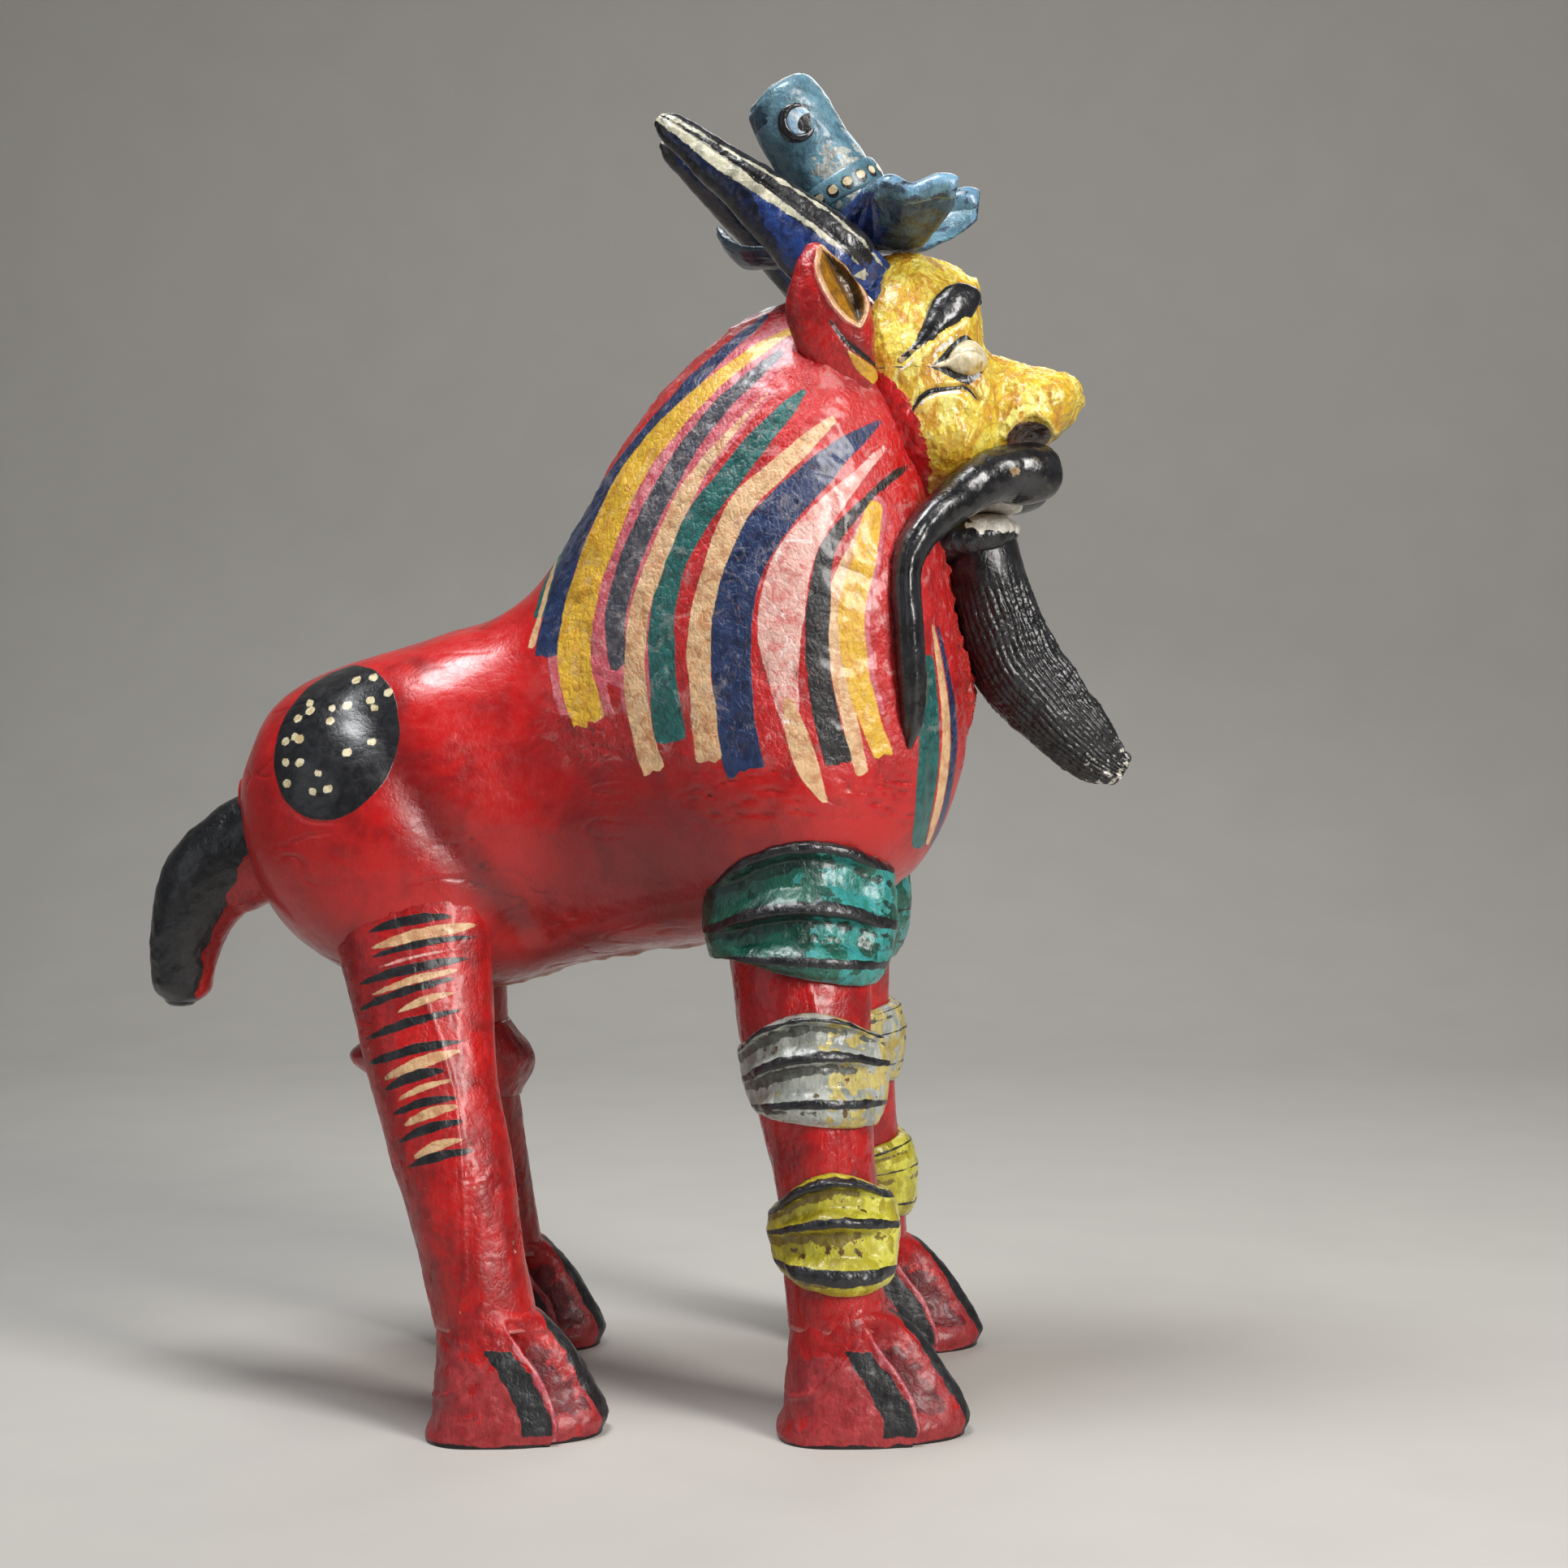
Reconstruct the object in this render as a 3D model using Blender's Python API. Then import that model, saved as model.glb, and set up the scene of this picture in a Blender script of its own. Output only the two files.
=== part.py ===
"""A papier-mache alebrije: a striped horse-like beast with a bearded face, a hat and two horns.

Metres, +Z up, nose towards +X, the beast's right side towards -Y. The origin is on the floor,
midway between the tail and the tip of the beard. Everything is glued, so nothing moves.
"""

import math

import bmesh
import bpy
from mathutils import Vector

MM = 0.001

# Driving dimensions
GLUE_GAP = 0.3 * MM  # between two pieces that touch
SHELL_WALL = 4.0 * MM  # layered paper of the moulded body
CORE_SLACK = 1.5 * MM  # between the shell and the crumpled paper in it
CANE_RADIUS = 4.0 * MM
SPINE_WIRE_RADIUS = 2.5 * MM
HORN_WIRE_RADIUS = 1.2 * MM
PAW_HEIGHT = 45.0 * MM
PAW_HALF_WIDTH = 28.0 * MM
BRIM_THICKNESS = 3.0 * MM
HAT_BAND_THICKNESS = 1.6 * MM
EYE_SIZE = (9.5 * MM, 8.0 * MM, 8.0 * MM)
RIGHT, LEFT = -1, 1
SIDES = {"right": RIGHT, "left": LEFT}

# The left legs don't stand level with the right ones: they lean this much further forward or
# back at the floor, and less towards the body.
FRONT_STAGGER = 16.5 * MM
FRONT_STAGGER_HEIGHT = 500.0 * MM
HIND_STAGGER = -13.0 * MM
HIND_STAGGER_HEIGHT = 260.0 * MM

# Slices across the body at x: lowest z, z of the widest place, highest z, half width, and how
# square the lower half is, which is more at the haunches and shoulders than under the belly
BODY_SLICES = (
    (-162, 230, 237, 246, 12, 2.3),
    (-157, 212, 232, 258, 30, 2.3),
    (-149, 195, 230, 273, 42, 2.4),
    (-136, 181, 228, 284, 52, 2.7),
    (-118, 170, 228, 291.5, 59, 3.2),
    (-98, 164, 228, 298, 61, 3.4),
    (-78, 162, 230, 305, 59, 3.2),
    (-60, 163, 234, 311, 55, 2.7),
    (-44, 167, 240, 322, 52, 2.3),
    (-30, 170.5, 248, 342, 54, 2.2),
    (-14, 174, 256, 370, 60, 2.2),
    (4, 177, 264, 395, 66, 2.2),
    (24, 180, 270, 416.5, 72, 2.4),
    (46, 183, 272, 432, 76, 2.8),
    (66, 187, 272, 437.5, 76, 2.9),
    (84, 193, 270, 430, 71, 2.8),
    (99, 202, 268, 408, 64, 2.5),
    (110, 211, 267, 375, 55, 2.3),
    (120, 226, 268, 334, 40, 2.3),
    (127, 246, 271, 301, 22, 2.3),
    (130, 263, 274, 287, 9, 2.3),
)
# Slices across the head, the jaw and the teeth, the same without the last value
HEAD_SLICES = (
    (79, 378, 402, 440, 25),
    (86, 366, 402, 450, 34),
    (96, 358, 402, 455.5, 40),
    (108, 354, 400, 457, 42),
    (120, 354, 398, 453.5, 41),
    (130, 356, 397, 448, 38),
    (135.5, 360, 396, 441, 35),
    (138.5, 364, 394, 415, 32),
    (148, 374, 393, 412, 29),
    (160, 379, 394, 410.5, 27),
    (170, 382, 395, 408.5, 22),
    (176, 387, 396, 405, 14),
    (178, 392, 396, 401, 6),
)
JAW_SLICES = (
    (112, 334, 341, 349, 17),
    (122, 332, 341, 350.5, 20),
    (136, 333, 342, 351, 20),
    (146, 336, 343, 350.5, 16),
    (150.5, 340, 344, 348, 8),
)
TEETH_SLICES = (
    (131, 352, 356, 360, 10),
    (140, 351.8, 356, 361, 12),
    (148, 352, 356, 361, 10),
    (151.5, 353, 356, 359, 5),
)

# Legs, from the top: x, y, z of the centre, half length and half width of the slice.
# Distances y are outwards from the middle plane.
FRONT_LEG = (
    (62, 42, 226, 31, 24),
    (62, 47, 203, 30, 24.5),
    (63.5, 57, 160, 26, 24),
    (69.7, 65, 111, 21, 21.5),
    (74, 69, 81, 19, 19.5),
    (76.2, 73, 45.3, 18.3, 19),
)
HIND_LEG = (
    (-90, 39, 206, 31, 20),
    (-87.5, 43, 182, 30.5, 20.5),
    (-80.3, 53, 141, 25.7, 21.5),
    (-73, 61, 110.6, 23.3, 21),
    (-64.4, 68, 75, 21, 19.5),
    (-57.5, 73, 45.3, 19.5, 19),
)
# Bands: z and thickness of the relief, from its upper edge to its lower edge
TEAL_BAND = ((217, 1.5), (214, 7), (203, 3.5), (193, 7.5), (184, 3.5), (176, 6), (165, 1.2))
CREAM_BAND = ((153, 1.2), (148, 4), (141, 2.6), (134, 5), (126, 2.6), (119, 4.2), (113, 1.2))
YELLOW_BAND = ((92, 1.2), (87, 5), (81, 3), (76, 6), (66, 3.2), (58, 6), (50, 1.2))
KNEE_BAND = ((139, 1.2), (134, 6), (126, 8), (118, 5), (112, 1.2))
KNEE_SPUR = 21.0 * MM  # how much further the knee band stands out behind the leg
BAND_SPUR = 2.5 * MM  # and how much further the other bands stand out behind it
BAND_FRONT = 4.0 * MM  # and in front of it
BAND_ARCH = 5.0 * MM  # the outer face of a band stands this much higher than its inner face

# Curved forms: x, y, z of the spine, half width and half height of the slice
TAIL = (
    (-150, 0, 220, 18, 22),
    (-162, 0, 214.5, 18, 22),
    (-175, 0, 205, 17, 20),
    (-182.5, 0, 191, 15, 16.5),
    (-186, 0, 175, 13, 13.5),
    (-187.5, 0, 161, 10.5, 11),
    (-188, 0, 155.5, 5, 6),
)
BEARD = (
    (133, 0, 336, 17, 12),
    (137, 0, 318, 18, 14.5),
    (145, 0, 298, 18, 17),
    (156, 0, 280, 16.5, 16),
    (171, 0, 264, 14, 12.5),
    (187, 0, 253, 10, 9),
    (196, 0, 248, 6, 6),
)
MOUSTACHE = (
    (165, 15, 368, 8, 6),
    (161, 17, 367, 14, 10.5),
    (153, 23, 365, 14, 12),
    (143, 30, 365, 11, 12.5),
    (130, 38, 358, 11, 12),
    (118, 47, 346, 11, 11),
    (109.5, 54, 331, 11, 9.5),
    (105, 58, 312, 11, 7.5),
    (104, 60, 292, 10, 6.5),
    (104, 60, 274, 9, 5.5),
    (103.5, 58, 261, 5, 2.5),
)
HORN = (
    (86, 29, 438, 9, 16),
    (68, 30, 454, 9.5, 15.5),
    (46, 28, 473.5, 8.5, 12),
    (26, 24, 490.5, 6.5, 8.5),
    (12, 21, 502, 4.5, 6),
    (7.5, 20, 505.5, 2, 3),
)
EAR = (
    (88, 40, 399, 5, 6),
    (79, 45, 412, 7, 14),
    (73, 48, 427, 7.5, 16),
    (69.5, 48, 441, 6, 11),
    (67, 47, 452, 2, 3),
)
EAR_HOLLOW_CENTRE = (76, 53, 430)
EAR_HOLLOW_SIZE = (8, 6, 14)
BROW = (
    (132, 30, 437, 4, 4),
    (126, 34, 433, 8, 8.5),
    (117, 38, 424.5, 5.5, 6),
    (105, 42, 413, 2, 2.5),
)
EYE_CENTRE = (127, 33, 408.5)

# Hat: the crown leans back, and the brim is a gutter that rises at its sides and at both ends.
CROWN = (
    (86, 0, 466, 17.5, 17.5),
    (79, 0, 480, 17.3, 17.3),
    (66, 0, 500, 16.8, 16.8),
    (55.5, 0, 517, 16.3, 16.3),
    (52.8, 0, 521.2, 13.5, 13.5),
)
CROWN_BAND = (0.21, 0.31)  # share of the crown's length
# Brim at x: z of its middle line, half width, rise of its sides
BRIM = (
    (30, 467, 6, 1),
    (33, 458, 12, 3),
    (42, 452.5, 16, 5),
    (58, 452.5, 17, 5),
    (72, 456.5, 21, 7),
    (84, 460, 33, 17),
    (98, 462, 38, 20),
    (113, 464, 36, 18),
    (125, 468, 26, 12),
    (134, 475, 10, 5),
)
CRESCENT_RADIUS = 6.2 * MM
CRESCENT_STATION = 0.58  # share of the crown's length

# Inside: x, y, z along each rod
SPINE_WIRE = (
    (-186, 0, 178),
    (-178, 0, 206),
    (-150, 0, 222),
    (-90, 0, 238),
    (-10, 0, 250),
    (55, 0, 285),
    (88, 0, 350),
    (106, 0, 408),
)
FRONT_CANE = ((77, 73, 14), (58.5, 43, 236))
HIND_CANE = ((-57, 73, 14), (-91, 40, 222))
HORN_WIRE = ((96, 28, 428), (68, 30, 454), (40, 27, 478.5))

BODY_SIDES = 26
HOLLOW_SIDES = 16
LEG_SIDES = 16
TUBE_SIDES = 14
ROD_SIDES = 8

COLOURS = {
    "scarlet_paint": ((0.62, 0.03, 0.02), 0.38),
    "black_paint": ((0.012, 0.012, 0.014), 0.3),
    "yellow_paint": ((0.72, 0.5, 0.05), 0.4),
    "teal_paint": ((0.03, 0.22, 0.19), 0.4),
    "cream_paint": ((0.62, 0.56, 0.36), 0.42),
    "blue_paint": ((0.12, 0.27, 0.38), 0.4),
    "white_paint": ((0.75, 0.74, 0.68), 0.4),
    "raw_paper": ((0.45, 0.38, 0.28), 0.85),
    "cane": ((0.5, 0.36, 0.16), 0.6),
    "wire": ((0.35, 0.35, 0.36), 0.35),
}
METALS = ("wire",)


def clear_scene():
    for obj in list(bpy.data.objects):
        bpy.data.objects.remove(obj, do_unlink=True)


def paint(name):
    """The Principled material of this name, made once."""
    found = bpy.data.materials.get(name)
    if found:
        return found
    colour, roughness = COLOURS[name]
    material = bpy.data.materials.new(name)
    material.use_nodes = True
    shader = material.node_tree.nodes["Principled BSDF"]
    shader.inputs["Base Color"].default_value = (*colour, 1)
    shader.inputs["Roughness"].default_value = roughness
    shader.inputs["Metallic"].default_value = 1.0 if name in METALS else 0.0
    material.diffuse_color = (*colour, 1)
    return material


def eased(rows, steps):
    """Rows of numbers read off a smooth curve through the given rows, so many steps a span."""
    padded = [rows[0], *rows, rows[-1]]
    result = []
    for before, start, end, after in zip(padded, padded[1:], padded[2:], padded[3:]):
        for step in range(steps):
            t = step / steps
            result.append(tuple(
                b + 0.5 * t * (c - a + t * (2 * a - 5 * b + 4 * c - d + t * (3 * b - a - 3 * c + d)))
                for a, b, c, d in zip(before, start, end, after)
            ))
    result.append(tuple(rows[-1]))
    return result


def loft(name, rings, material, joined_ends=False):
    """A closed solid through rings of points: capped at both ends, or with its ends joined."""
    bm = bmesh.new()
    loops = [[bm.verts.new(point) for point in ring] for ring in rings]
    pairs = list(zip(loops, loops[1:]))
    if joined_ends:
        pairs.append((loops[-1], loops[0]))
    else:
        bm.faces.new(loops[0])
        bm.faces.new(reversed(loops[-1]))
    count = len(loops[0])
    for first, second in pairs:
        for i in range(count):
            j = (i + 1) % count
            bm.faces.new((first[i], first[j], second[j], second[i]))
    bmesh.ops.recalc_face_normals(bm, faces=bm.faces)
    mesh = bpy.data.meshes.new(name)
    bm.to_mesh(mesh)
    bm.free()
    mesh.shade_smooth()
    mesh.set_sharp_from_angle(angle=math.radians(50))
    mesh.materials.append(paint(material))
    obj = bpy.data.objects.new(name, mesh)
    bpy.context.scene.collection.objects.link(obj)
    return obj


def make_cutter(obj):
    obj.hide_render = True
    obj.display_type = "WIRE"
    return obj


def clearance(obj, gap=GLUE_GAP):
    """A cutter a little larger than the object all round."""
    bm = bmesh.new()
    bm.from_mesh(obj.data)
    bm.normal_update()
    moves = [vert.normal * gap for vert in bm.verts]
    for vert, move in zip(bm.verts, moves):
        vert.co += move
    mesh = bpy.data.meshes.new(obj.name + "_clearance")
    bm.to_mesh(mesh)
    bm.free()
    cutter = bpy.data.objects.new(mesh.name, mesh)
    bpy.context.scene.collection.objects.link(cutter)
    return make_cutter(cutter)


def cut(obj, *cutters, operation="DIFFERENCE"):
    for cutter in cutters:
        modifier = obj.modifiers.new(cutter.name, "BOOLEAN")
        modifier.operation = operation
        if isinstance(cutter, bpy.types.Collection):
            modifier.operand_type = "COLLECTION"
            modifier.collection = cutter
        else:
            modifier.object = cutter
    return obj


def slices(rows, steps, sides, inset=0.0, squareness=2.3):
    """Rings across X: rounded like a superellipse above and below their widest place."""
    rings = []
    for x, low, wide, high, half, *belly in eased(rows, steps):
        ring = []
        for i in range(sides):
            angle = 2 * math.pi * i / sides
            power = 2 / (belly[0] if belly and i > sides / 2 else squareness)
            across = math.copysign(abs(math.cos(angle)) ** power, math.cos(angle))
            upward = math.copysign(abs(math.sin(angle)) ** power, math.sin(angle))
            height = (high - wide if upward > 0 else wide - low) * MM - inset
            ring.append(Vector((x * MM, across * (half * MM - inset), wide * MM + upward * height)))
        rings.append(ring)
    return rings


def tube(rows, steps, sides, side=RIGHT):
    """Rings square to a spine: each row is x, y, z, half width and half height."""
    rows = eased(rows, steps)
    centres = [Vector((x, y * side, z)) * MM for x, y, z, *_ in rows]
    rings = []
    for i, (centre, row) in enumerate(zip(centres, rows)):
        ahead = centres[min(i + 1, len(rows) - 1)] - centres[max(i - 1, 0)]
        along = ahead.normalized()
        across = Vector((0, 1, 0)) - along * along.y
        across.normalize()
        upward = along.cross(across)
        half_width, half_height = row[3] * MM, row[4] * MM
        rings.append([
            centre + across * half_width * math.cos(angle) + upward * half_height * math.sin(angle)
            for angle in (2 * math.pi * k / sides for k in range(sides))
        ])
    return rings


def rod(name, points, radius, material, side=RIGHT, steps=1):
    rows = [(x, y, z, radius / MM, radius / MM) for x, y, z in points]
    return loft(name, tube(rows, steps, ROD_SIDES, side), material)


def ball(name, centre, size, material, side=RIGHT, sides=16, rings=9):
    """An ellipsoid lofted along X."""
    middle = Vector((centre[0] * MM, centre[1] * MM * side, centre[2] * MM))
    loops = []
    for k in range(1, rings):
        turn = math.pi * k / rings
        loops.append([
            middle + Vector((
                -size[0] * math.cos(turn),
                size[1] * math.sin(turn) * math.cos(angle),
                size[2] * math.sin(turn) * math.sin(angle),
            ))
            for angle in (2 * math.pi * i / sides for i in range(sides))
        ])
    return loft(name, loops, material)


def half_space(name, side):
    """A cutter that holds everything on one side of the middle plane."""
    reach = 0.4
    bm = bmesh.new()
    bmesh.ops.create_cube(bm, size=2 * reach)
    bmesh.ops.translate(bm, verts=bm.verts, vec=(0, side * (reach + GLUE_GAP / 2), 0.25))
    mesh = bpy.data.meshes.new(name)
    bm.to_mesh(mesh)
    bm.free()
    obj = bpy.data.objects.new(name, mesh)
    bpy.context.scene.collection.objects.link(obj)
    return make_cutter(obj)


def staggered(rows, stagger, stagger_height):
    """The same leg, carried forward or back in proportion to how far down it is."""
    moved = []
    for x, y, z, *sizes in rows:
        share = 1 - z * MM / stagger_height
        moved.append((x + stagger / MM * share, y, z, *sizes))
    return moved


def leg_slice(rows, z):
    """x, y, half length and half width of a leg at this height."""
    for upper, lower in zip(rows, rows[1:]):
        if lower[2] <= z <= upper[2]:
            break
    share = (upper[2] - z) / (upper[2] - lower[2])
    mixed = [a + (b - a) * share for a, b in zip(upper, lower)]
    return mixed[0], mixed[1], mixed[3], mixed[4]


def make_leg(name, rows, side):
    rings = []
    for x, y, z, half_length, half_width in eased(rows, 2):
        rings.append([
            Vector((x + half_length * math.cos(a), (y + half_width * math.sin(a)) * side, z)) * MM
            for a in (2 * math.pi * i / LEG_SIDES for i in range(LEG_SIDES))
        ])
    return loft(name, rings, "scarlet_paint")


def make_band(name, rows, profile, side, material, sides=20, spur=0.0, front=0.0):
    """A relief ring glued round a leg: fluted outside, and thicker outwards than inwards.

    It can stand out further behind the leg, by the spur, and in front of it.
    """
    thickest = max(thickness for _, thickness in profile)
    dense = eased(rows, 4)
    gap = 2 * GLUE_GAP / MM
    outside = list(profile)
    inside = [(z, gap) for z, _ in reversed((profile[0], profile[len(profile) // 2], profile[-1]))]
    rings = []
    for z, thickness in outside + inside:
        ring = []
        for i in range(sides):
            angle = 2 * math.pi * i / sides
            outward = 0.5 + 0.5 * math.sin(angle)
            level = z + BAND_ARCH / MM * (outward - 0.5)
            x, y, half_length, half_width = leg_slice(dense, level)
            swell = 0.45 + 0.55 * outward
            behind = spur / MM * max(0.0, -math.cos(angle)) ** 1.5 / thickest
            ahead = front / MM * max(0.0, math.cos(angle)) ** 1.5 / thickest
            grown = gap + (thickness - gap) * (swell + behind + ahead)
            ring.append(Vector((
                x + (half_length + grown) * math.cos(angle),
                (y + (half_width + grown) * math.sin(angle)) * side,
                level,
            )) * MM)
        rings.append(ring)
    return loft(name, rings, material, joined_ends=True)


def make_paw(name, heel, middle, length, side):
    """A flat-soled foot: a block under the leg, and fluted toes that slope down in front of it."""
    profile = (  # share of the length, height, share of the width, depth of the toe flutes
        (0.0, 40, 0.42, 0),
        (0.02, 45, 0.6, 0),
        (0.12, 45, 0.8, 0),
        (0.3, 45, 0.88, 0),
        (0.5, 45, 0.94, 0.4),
        (0.62, 38, 0.98, 2.2),
        (0.76, 31, 1.0, 3.2),
        (0.88, 24, 0.96, 3.2),
        (0.96, 17, 0.84, 2.4),
        (1.0, 10, 0.66, 1.2),
    )
    crown_points, sole_points = 15, 5
    rings = []
    for share, height, width, flute in profile:
        x = heel + length * share
        half = PAW_HALF_WIDTH / MM * width
        ring = []
        for i in range(crown_points):
            angle = math.pi * i / (crown_points - 1)
            across = math.copysign(abs(math.cos(angle)) ** 0.7, math.cos(angle))
            upward = abs(math.sin(angle)) ** 0.45
            groove = flute * (1 - math.cos(6 * angle)) * math.sin(angle)
            top = min(height, PAW_HEIGHT / MM)
            ring.append(Vector((x, side * (middle + half * across), max(0, top * upward - groove))) * MM)
        for i in range(1, sole_points):
            across = -1 + 2 * i / sole_points
            ring.append(Vector((x, side * (middle + half * across), 0)) * MM)
        rings.append(ring)
    return loft(name, rings, "scarlet_paint")


def make_brim():
    """The hat's brim: one bent sheet of paper, closed round its edge."""
    columns = 9
    upper, lower = [], []
    for x, z, half, rise in eased(BRIM, 2):
        ends = [-1 + 2 * i / (columns - 1) for i in range(columns)]
        top = [Vector((x, half * v, z + rise * v * v)) * MM for v in ends]
        upper.append(top)
        lower.append([point - Vector((0, 0, BRIM_THICKNESS)) for point in top])
    rings = [above + below[::-1] for above, below in zip(upper, lower)]
    return loft("hat_brim", rings, "blue_paint")


def crown_point(share):
    """Centre, axis and radius of the hat's crown at a share of its length, in mm."""
    dense = eased(CROWN, 6)
    place = share * (len(dense) - 1)
    i = min(int(place), len(dense) - 2)
    mixed = [a + (b - a) * (place - i) for a, b in zip(dense[i], dense[i + 1])]
    axis = Vector(dense[i + 1][:3]) - Vector(dense[i][:3])
    return Vector(mixed[:3]), axis.normalized(), mixed[3]


def make_hat_band(sides=20):
    rings = []
    start, end = CROWN_BAND
    gap = GLUE_GAP / MM
    thick = gap + HAT_BAND_THICKNESS / MM
    for share, grown in ((start, thick), (end, thick), (end, gap), (start, gap)):
        centre, axis, radius = crown_point(share)
        across = Vector((0, 1, 0))
        upward = axis.cross(across)
        rings.append([
            (centre + (across * math.cos(a) + upward * math.sin(a)) * (radius + grown)) * MM
            for a in (2 * math.pi * i / sides for i in range(sides))
        ])
    return loft("hat_band", rings, "black_paint", joined_ends=True)


def make_crescent(name, side, points=13):
    """A crescent in relief on the side of the crown, its horns towards the front."""
    centre, axis, radius = crown_point(CRESCENT_STATION)
    forward = Vector((-axis.z, 0, axis.x)) * -1
    outward = Vector((0, side, 0))
    sheet = []
    for i in range(points):
        angle = math.radians(60) + math.radians(240) * i / (points - 1)
        thick = 0.5 + 2.1 * math.sin(math.pi * i / (points - 1))
        middle = centre + forward * (CRESCENT_RADIUS / MM) * math.cos(angle)
        middle += axis * (CRESCENT_RADIUS / MM) * math.sin(angle)
        inward = (centre - middle).normalized()
        depth = 1.0 + 0.9 * math.sin(math.pi * i / (points - 1))
        ring = []
        for k in range(8):
            turn = 2 * math.pi * k / 8
            spot = middle + inward * thick * math.cos(turn)
            away = (spot - centre).dot(forward)
            surface = math.sqrt(radius * radius - away * away)
            lift = GLUE_GAP / MM + depth * (1 + math.sin(turn))
            ring.append((spot + outward * (surface + lift)) * MM)
        sheet.append(ring)
    return loft(name, sheet, "black_paint")


def make_armature():
    """Canes and wires under the paper, and a collection of slightly larger cutters for them."""
    rods = [rod("spine_wire", SPINE_WIRE, SPINE_WIRE_RADIUS, "wire", steps=3)]
    for word, side in SIDES.items():
        front, hind = FRONT_CANE, HIND_CANE
        if side == LEFT:
            front = [(*point, 0) for point in front]
            front = staggered(front, FRONT_STAGGER, FRONT_STAGGER_HEIGHT)
            hind = [(*point, 0) for point in hind]
            hind = staggered(hind, HIND_STAGGER, HIND_STAGGER_HEIGHT)
        rods += [
            rod(f"front_leg_cane_{word}", [p[:3] for p in front], CANE_RADIUS, "cane", side),
            rod(f"hind_leg_cane_{word}", [p[:3] for p in hind], CANE_RADIUS, "cane", side),
            rod(f"horn_wire_{word}", HORN_WIRE, HORN_WIRE_RADIUS, "wire", side, steps=2),
        ]
    clearances = bpy.data.collections.new("armature_clearance")
    bpy.context.scene.collection.children.link(clearances)
    for obj in rods:
        cutter = clearance(obj)
        bpy.context.scene.collection.objects.unlink(cutter)
        clearances.objects.link(cutter)
    return clearances


def make_body(armature):
    """Two moulded half shells, glued along the back and belly, over a core of crumpled paper."""
    inner_rows = BODY_SLICES[1:-1]
    solid = loft("body_form", slices(BODY_SLICES, 2, BODY_SIDES), "scarlet_paint")
    hollow = loft("body_hollow", slices(inner_rows, 1, HOLLOW_SIDES, SHELL_WALL), "raw_paper")
    for word, side in SIDES.items():
        shell = loft(f"body_shell_{word}", slices(BODY_SLICES, 2, BODY_SIDES), "scarlet_paint")
        cut(shell, make_cutter(hollow), armature)
        cut(shell, half_space(f"{word}_half", side), operation="INTERSECT")
    core_inset = SHELL_WALL + CORE_SLACK
    core = loft("paper_core", slices(inner_rows, 1, HOLLOW_SIDES, core_inset), "raw_paper")
    cut(core, armature)
    body = clearance(solid)
    make_cutter(solid)
    return body


def make_head(body, armature):
    """Face, eyes, brows, teeth and jaw. Returns cutters for what is glued onto them."""
    face = loft("face", slices(HEAD_SLICES, 2, 20), "yellow_paint")
    head = clearance(face)
    for word, side in SIDES.items():
        eye = ball(f"eye_{word}", EYE_CENTRE, EYE_SIZE, "white_paint", side)
        cut(face, clearance(eye))
        brow = loft(f"brow_{word}", tube(BROW, 2, 10, side), "black_paint")
        cut(brow, head, clearance(eye))
    jaw = loft("lower_jaw", slices(JAW_SLICES, 2, 12), "black_paint")
    cut(jaw, body)
    teeth = loft("upper_teeth", slices(TEETH_SLICES, 1, 10), "white_paint")
    cut(teeth, head)
    cut(face, body, armature)
    return head, clearance(jaw), clearance(teeth)


def make_beard(body, head, jaw, teeth):
    beard = loft("beard", tube(BEARD, 2, TUBE_SIDES), "black_paint")
    cut(beard, jaw, body)
    for word, side in SIDES.items():
        moustache = loft(f"moustache_{word}", tube(MOUSTACHE, 2, TUBE_SIDES, side), "black_paint")
        cut(moustache, head, body, jaw, teeth)


def make_horns_and_ears(body, head, armature):
    """Returns cutters for the horns, which the hat's brim makes way for."""
    horns = []
    for word, side in SIDES.items():
        horn = loft(f"horn_{word}", tube(HORN, 2, TUBE_SIDES, side), "black_paint")
        horns.append(clearance(horn))
        ear = loft(f"ear_{word}", tube(EAR, 2, TUBE_SIDES, side), "scarlet_paint")
        size = [value * MM for value in EAR_HOLLOW_SIZE]
        hollow = ball(f"ear_hollow_{word}", EAR_HOLLOW_CENTRE, size, "raw_paper", side)
        cut(ear, head, body, make_cutter(hollow), horns[-1])
        cut(horn, head, body, armature)
    return horns


def make_hat(head, horns):
    brim = make_brim()
    brim_clearance = clearance(brim)
    cut(brim, head, *horns)
    crown = loft("hat_crown", tube(CROWN, 2, 20), "blue_paint")
    cut(crown, brim_clearance, head)
    make_hat_band()
    for word, side in SIDES.items():
        make_crescent(f"hat_crescent_{word}", side)


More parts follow.
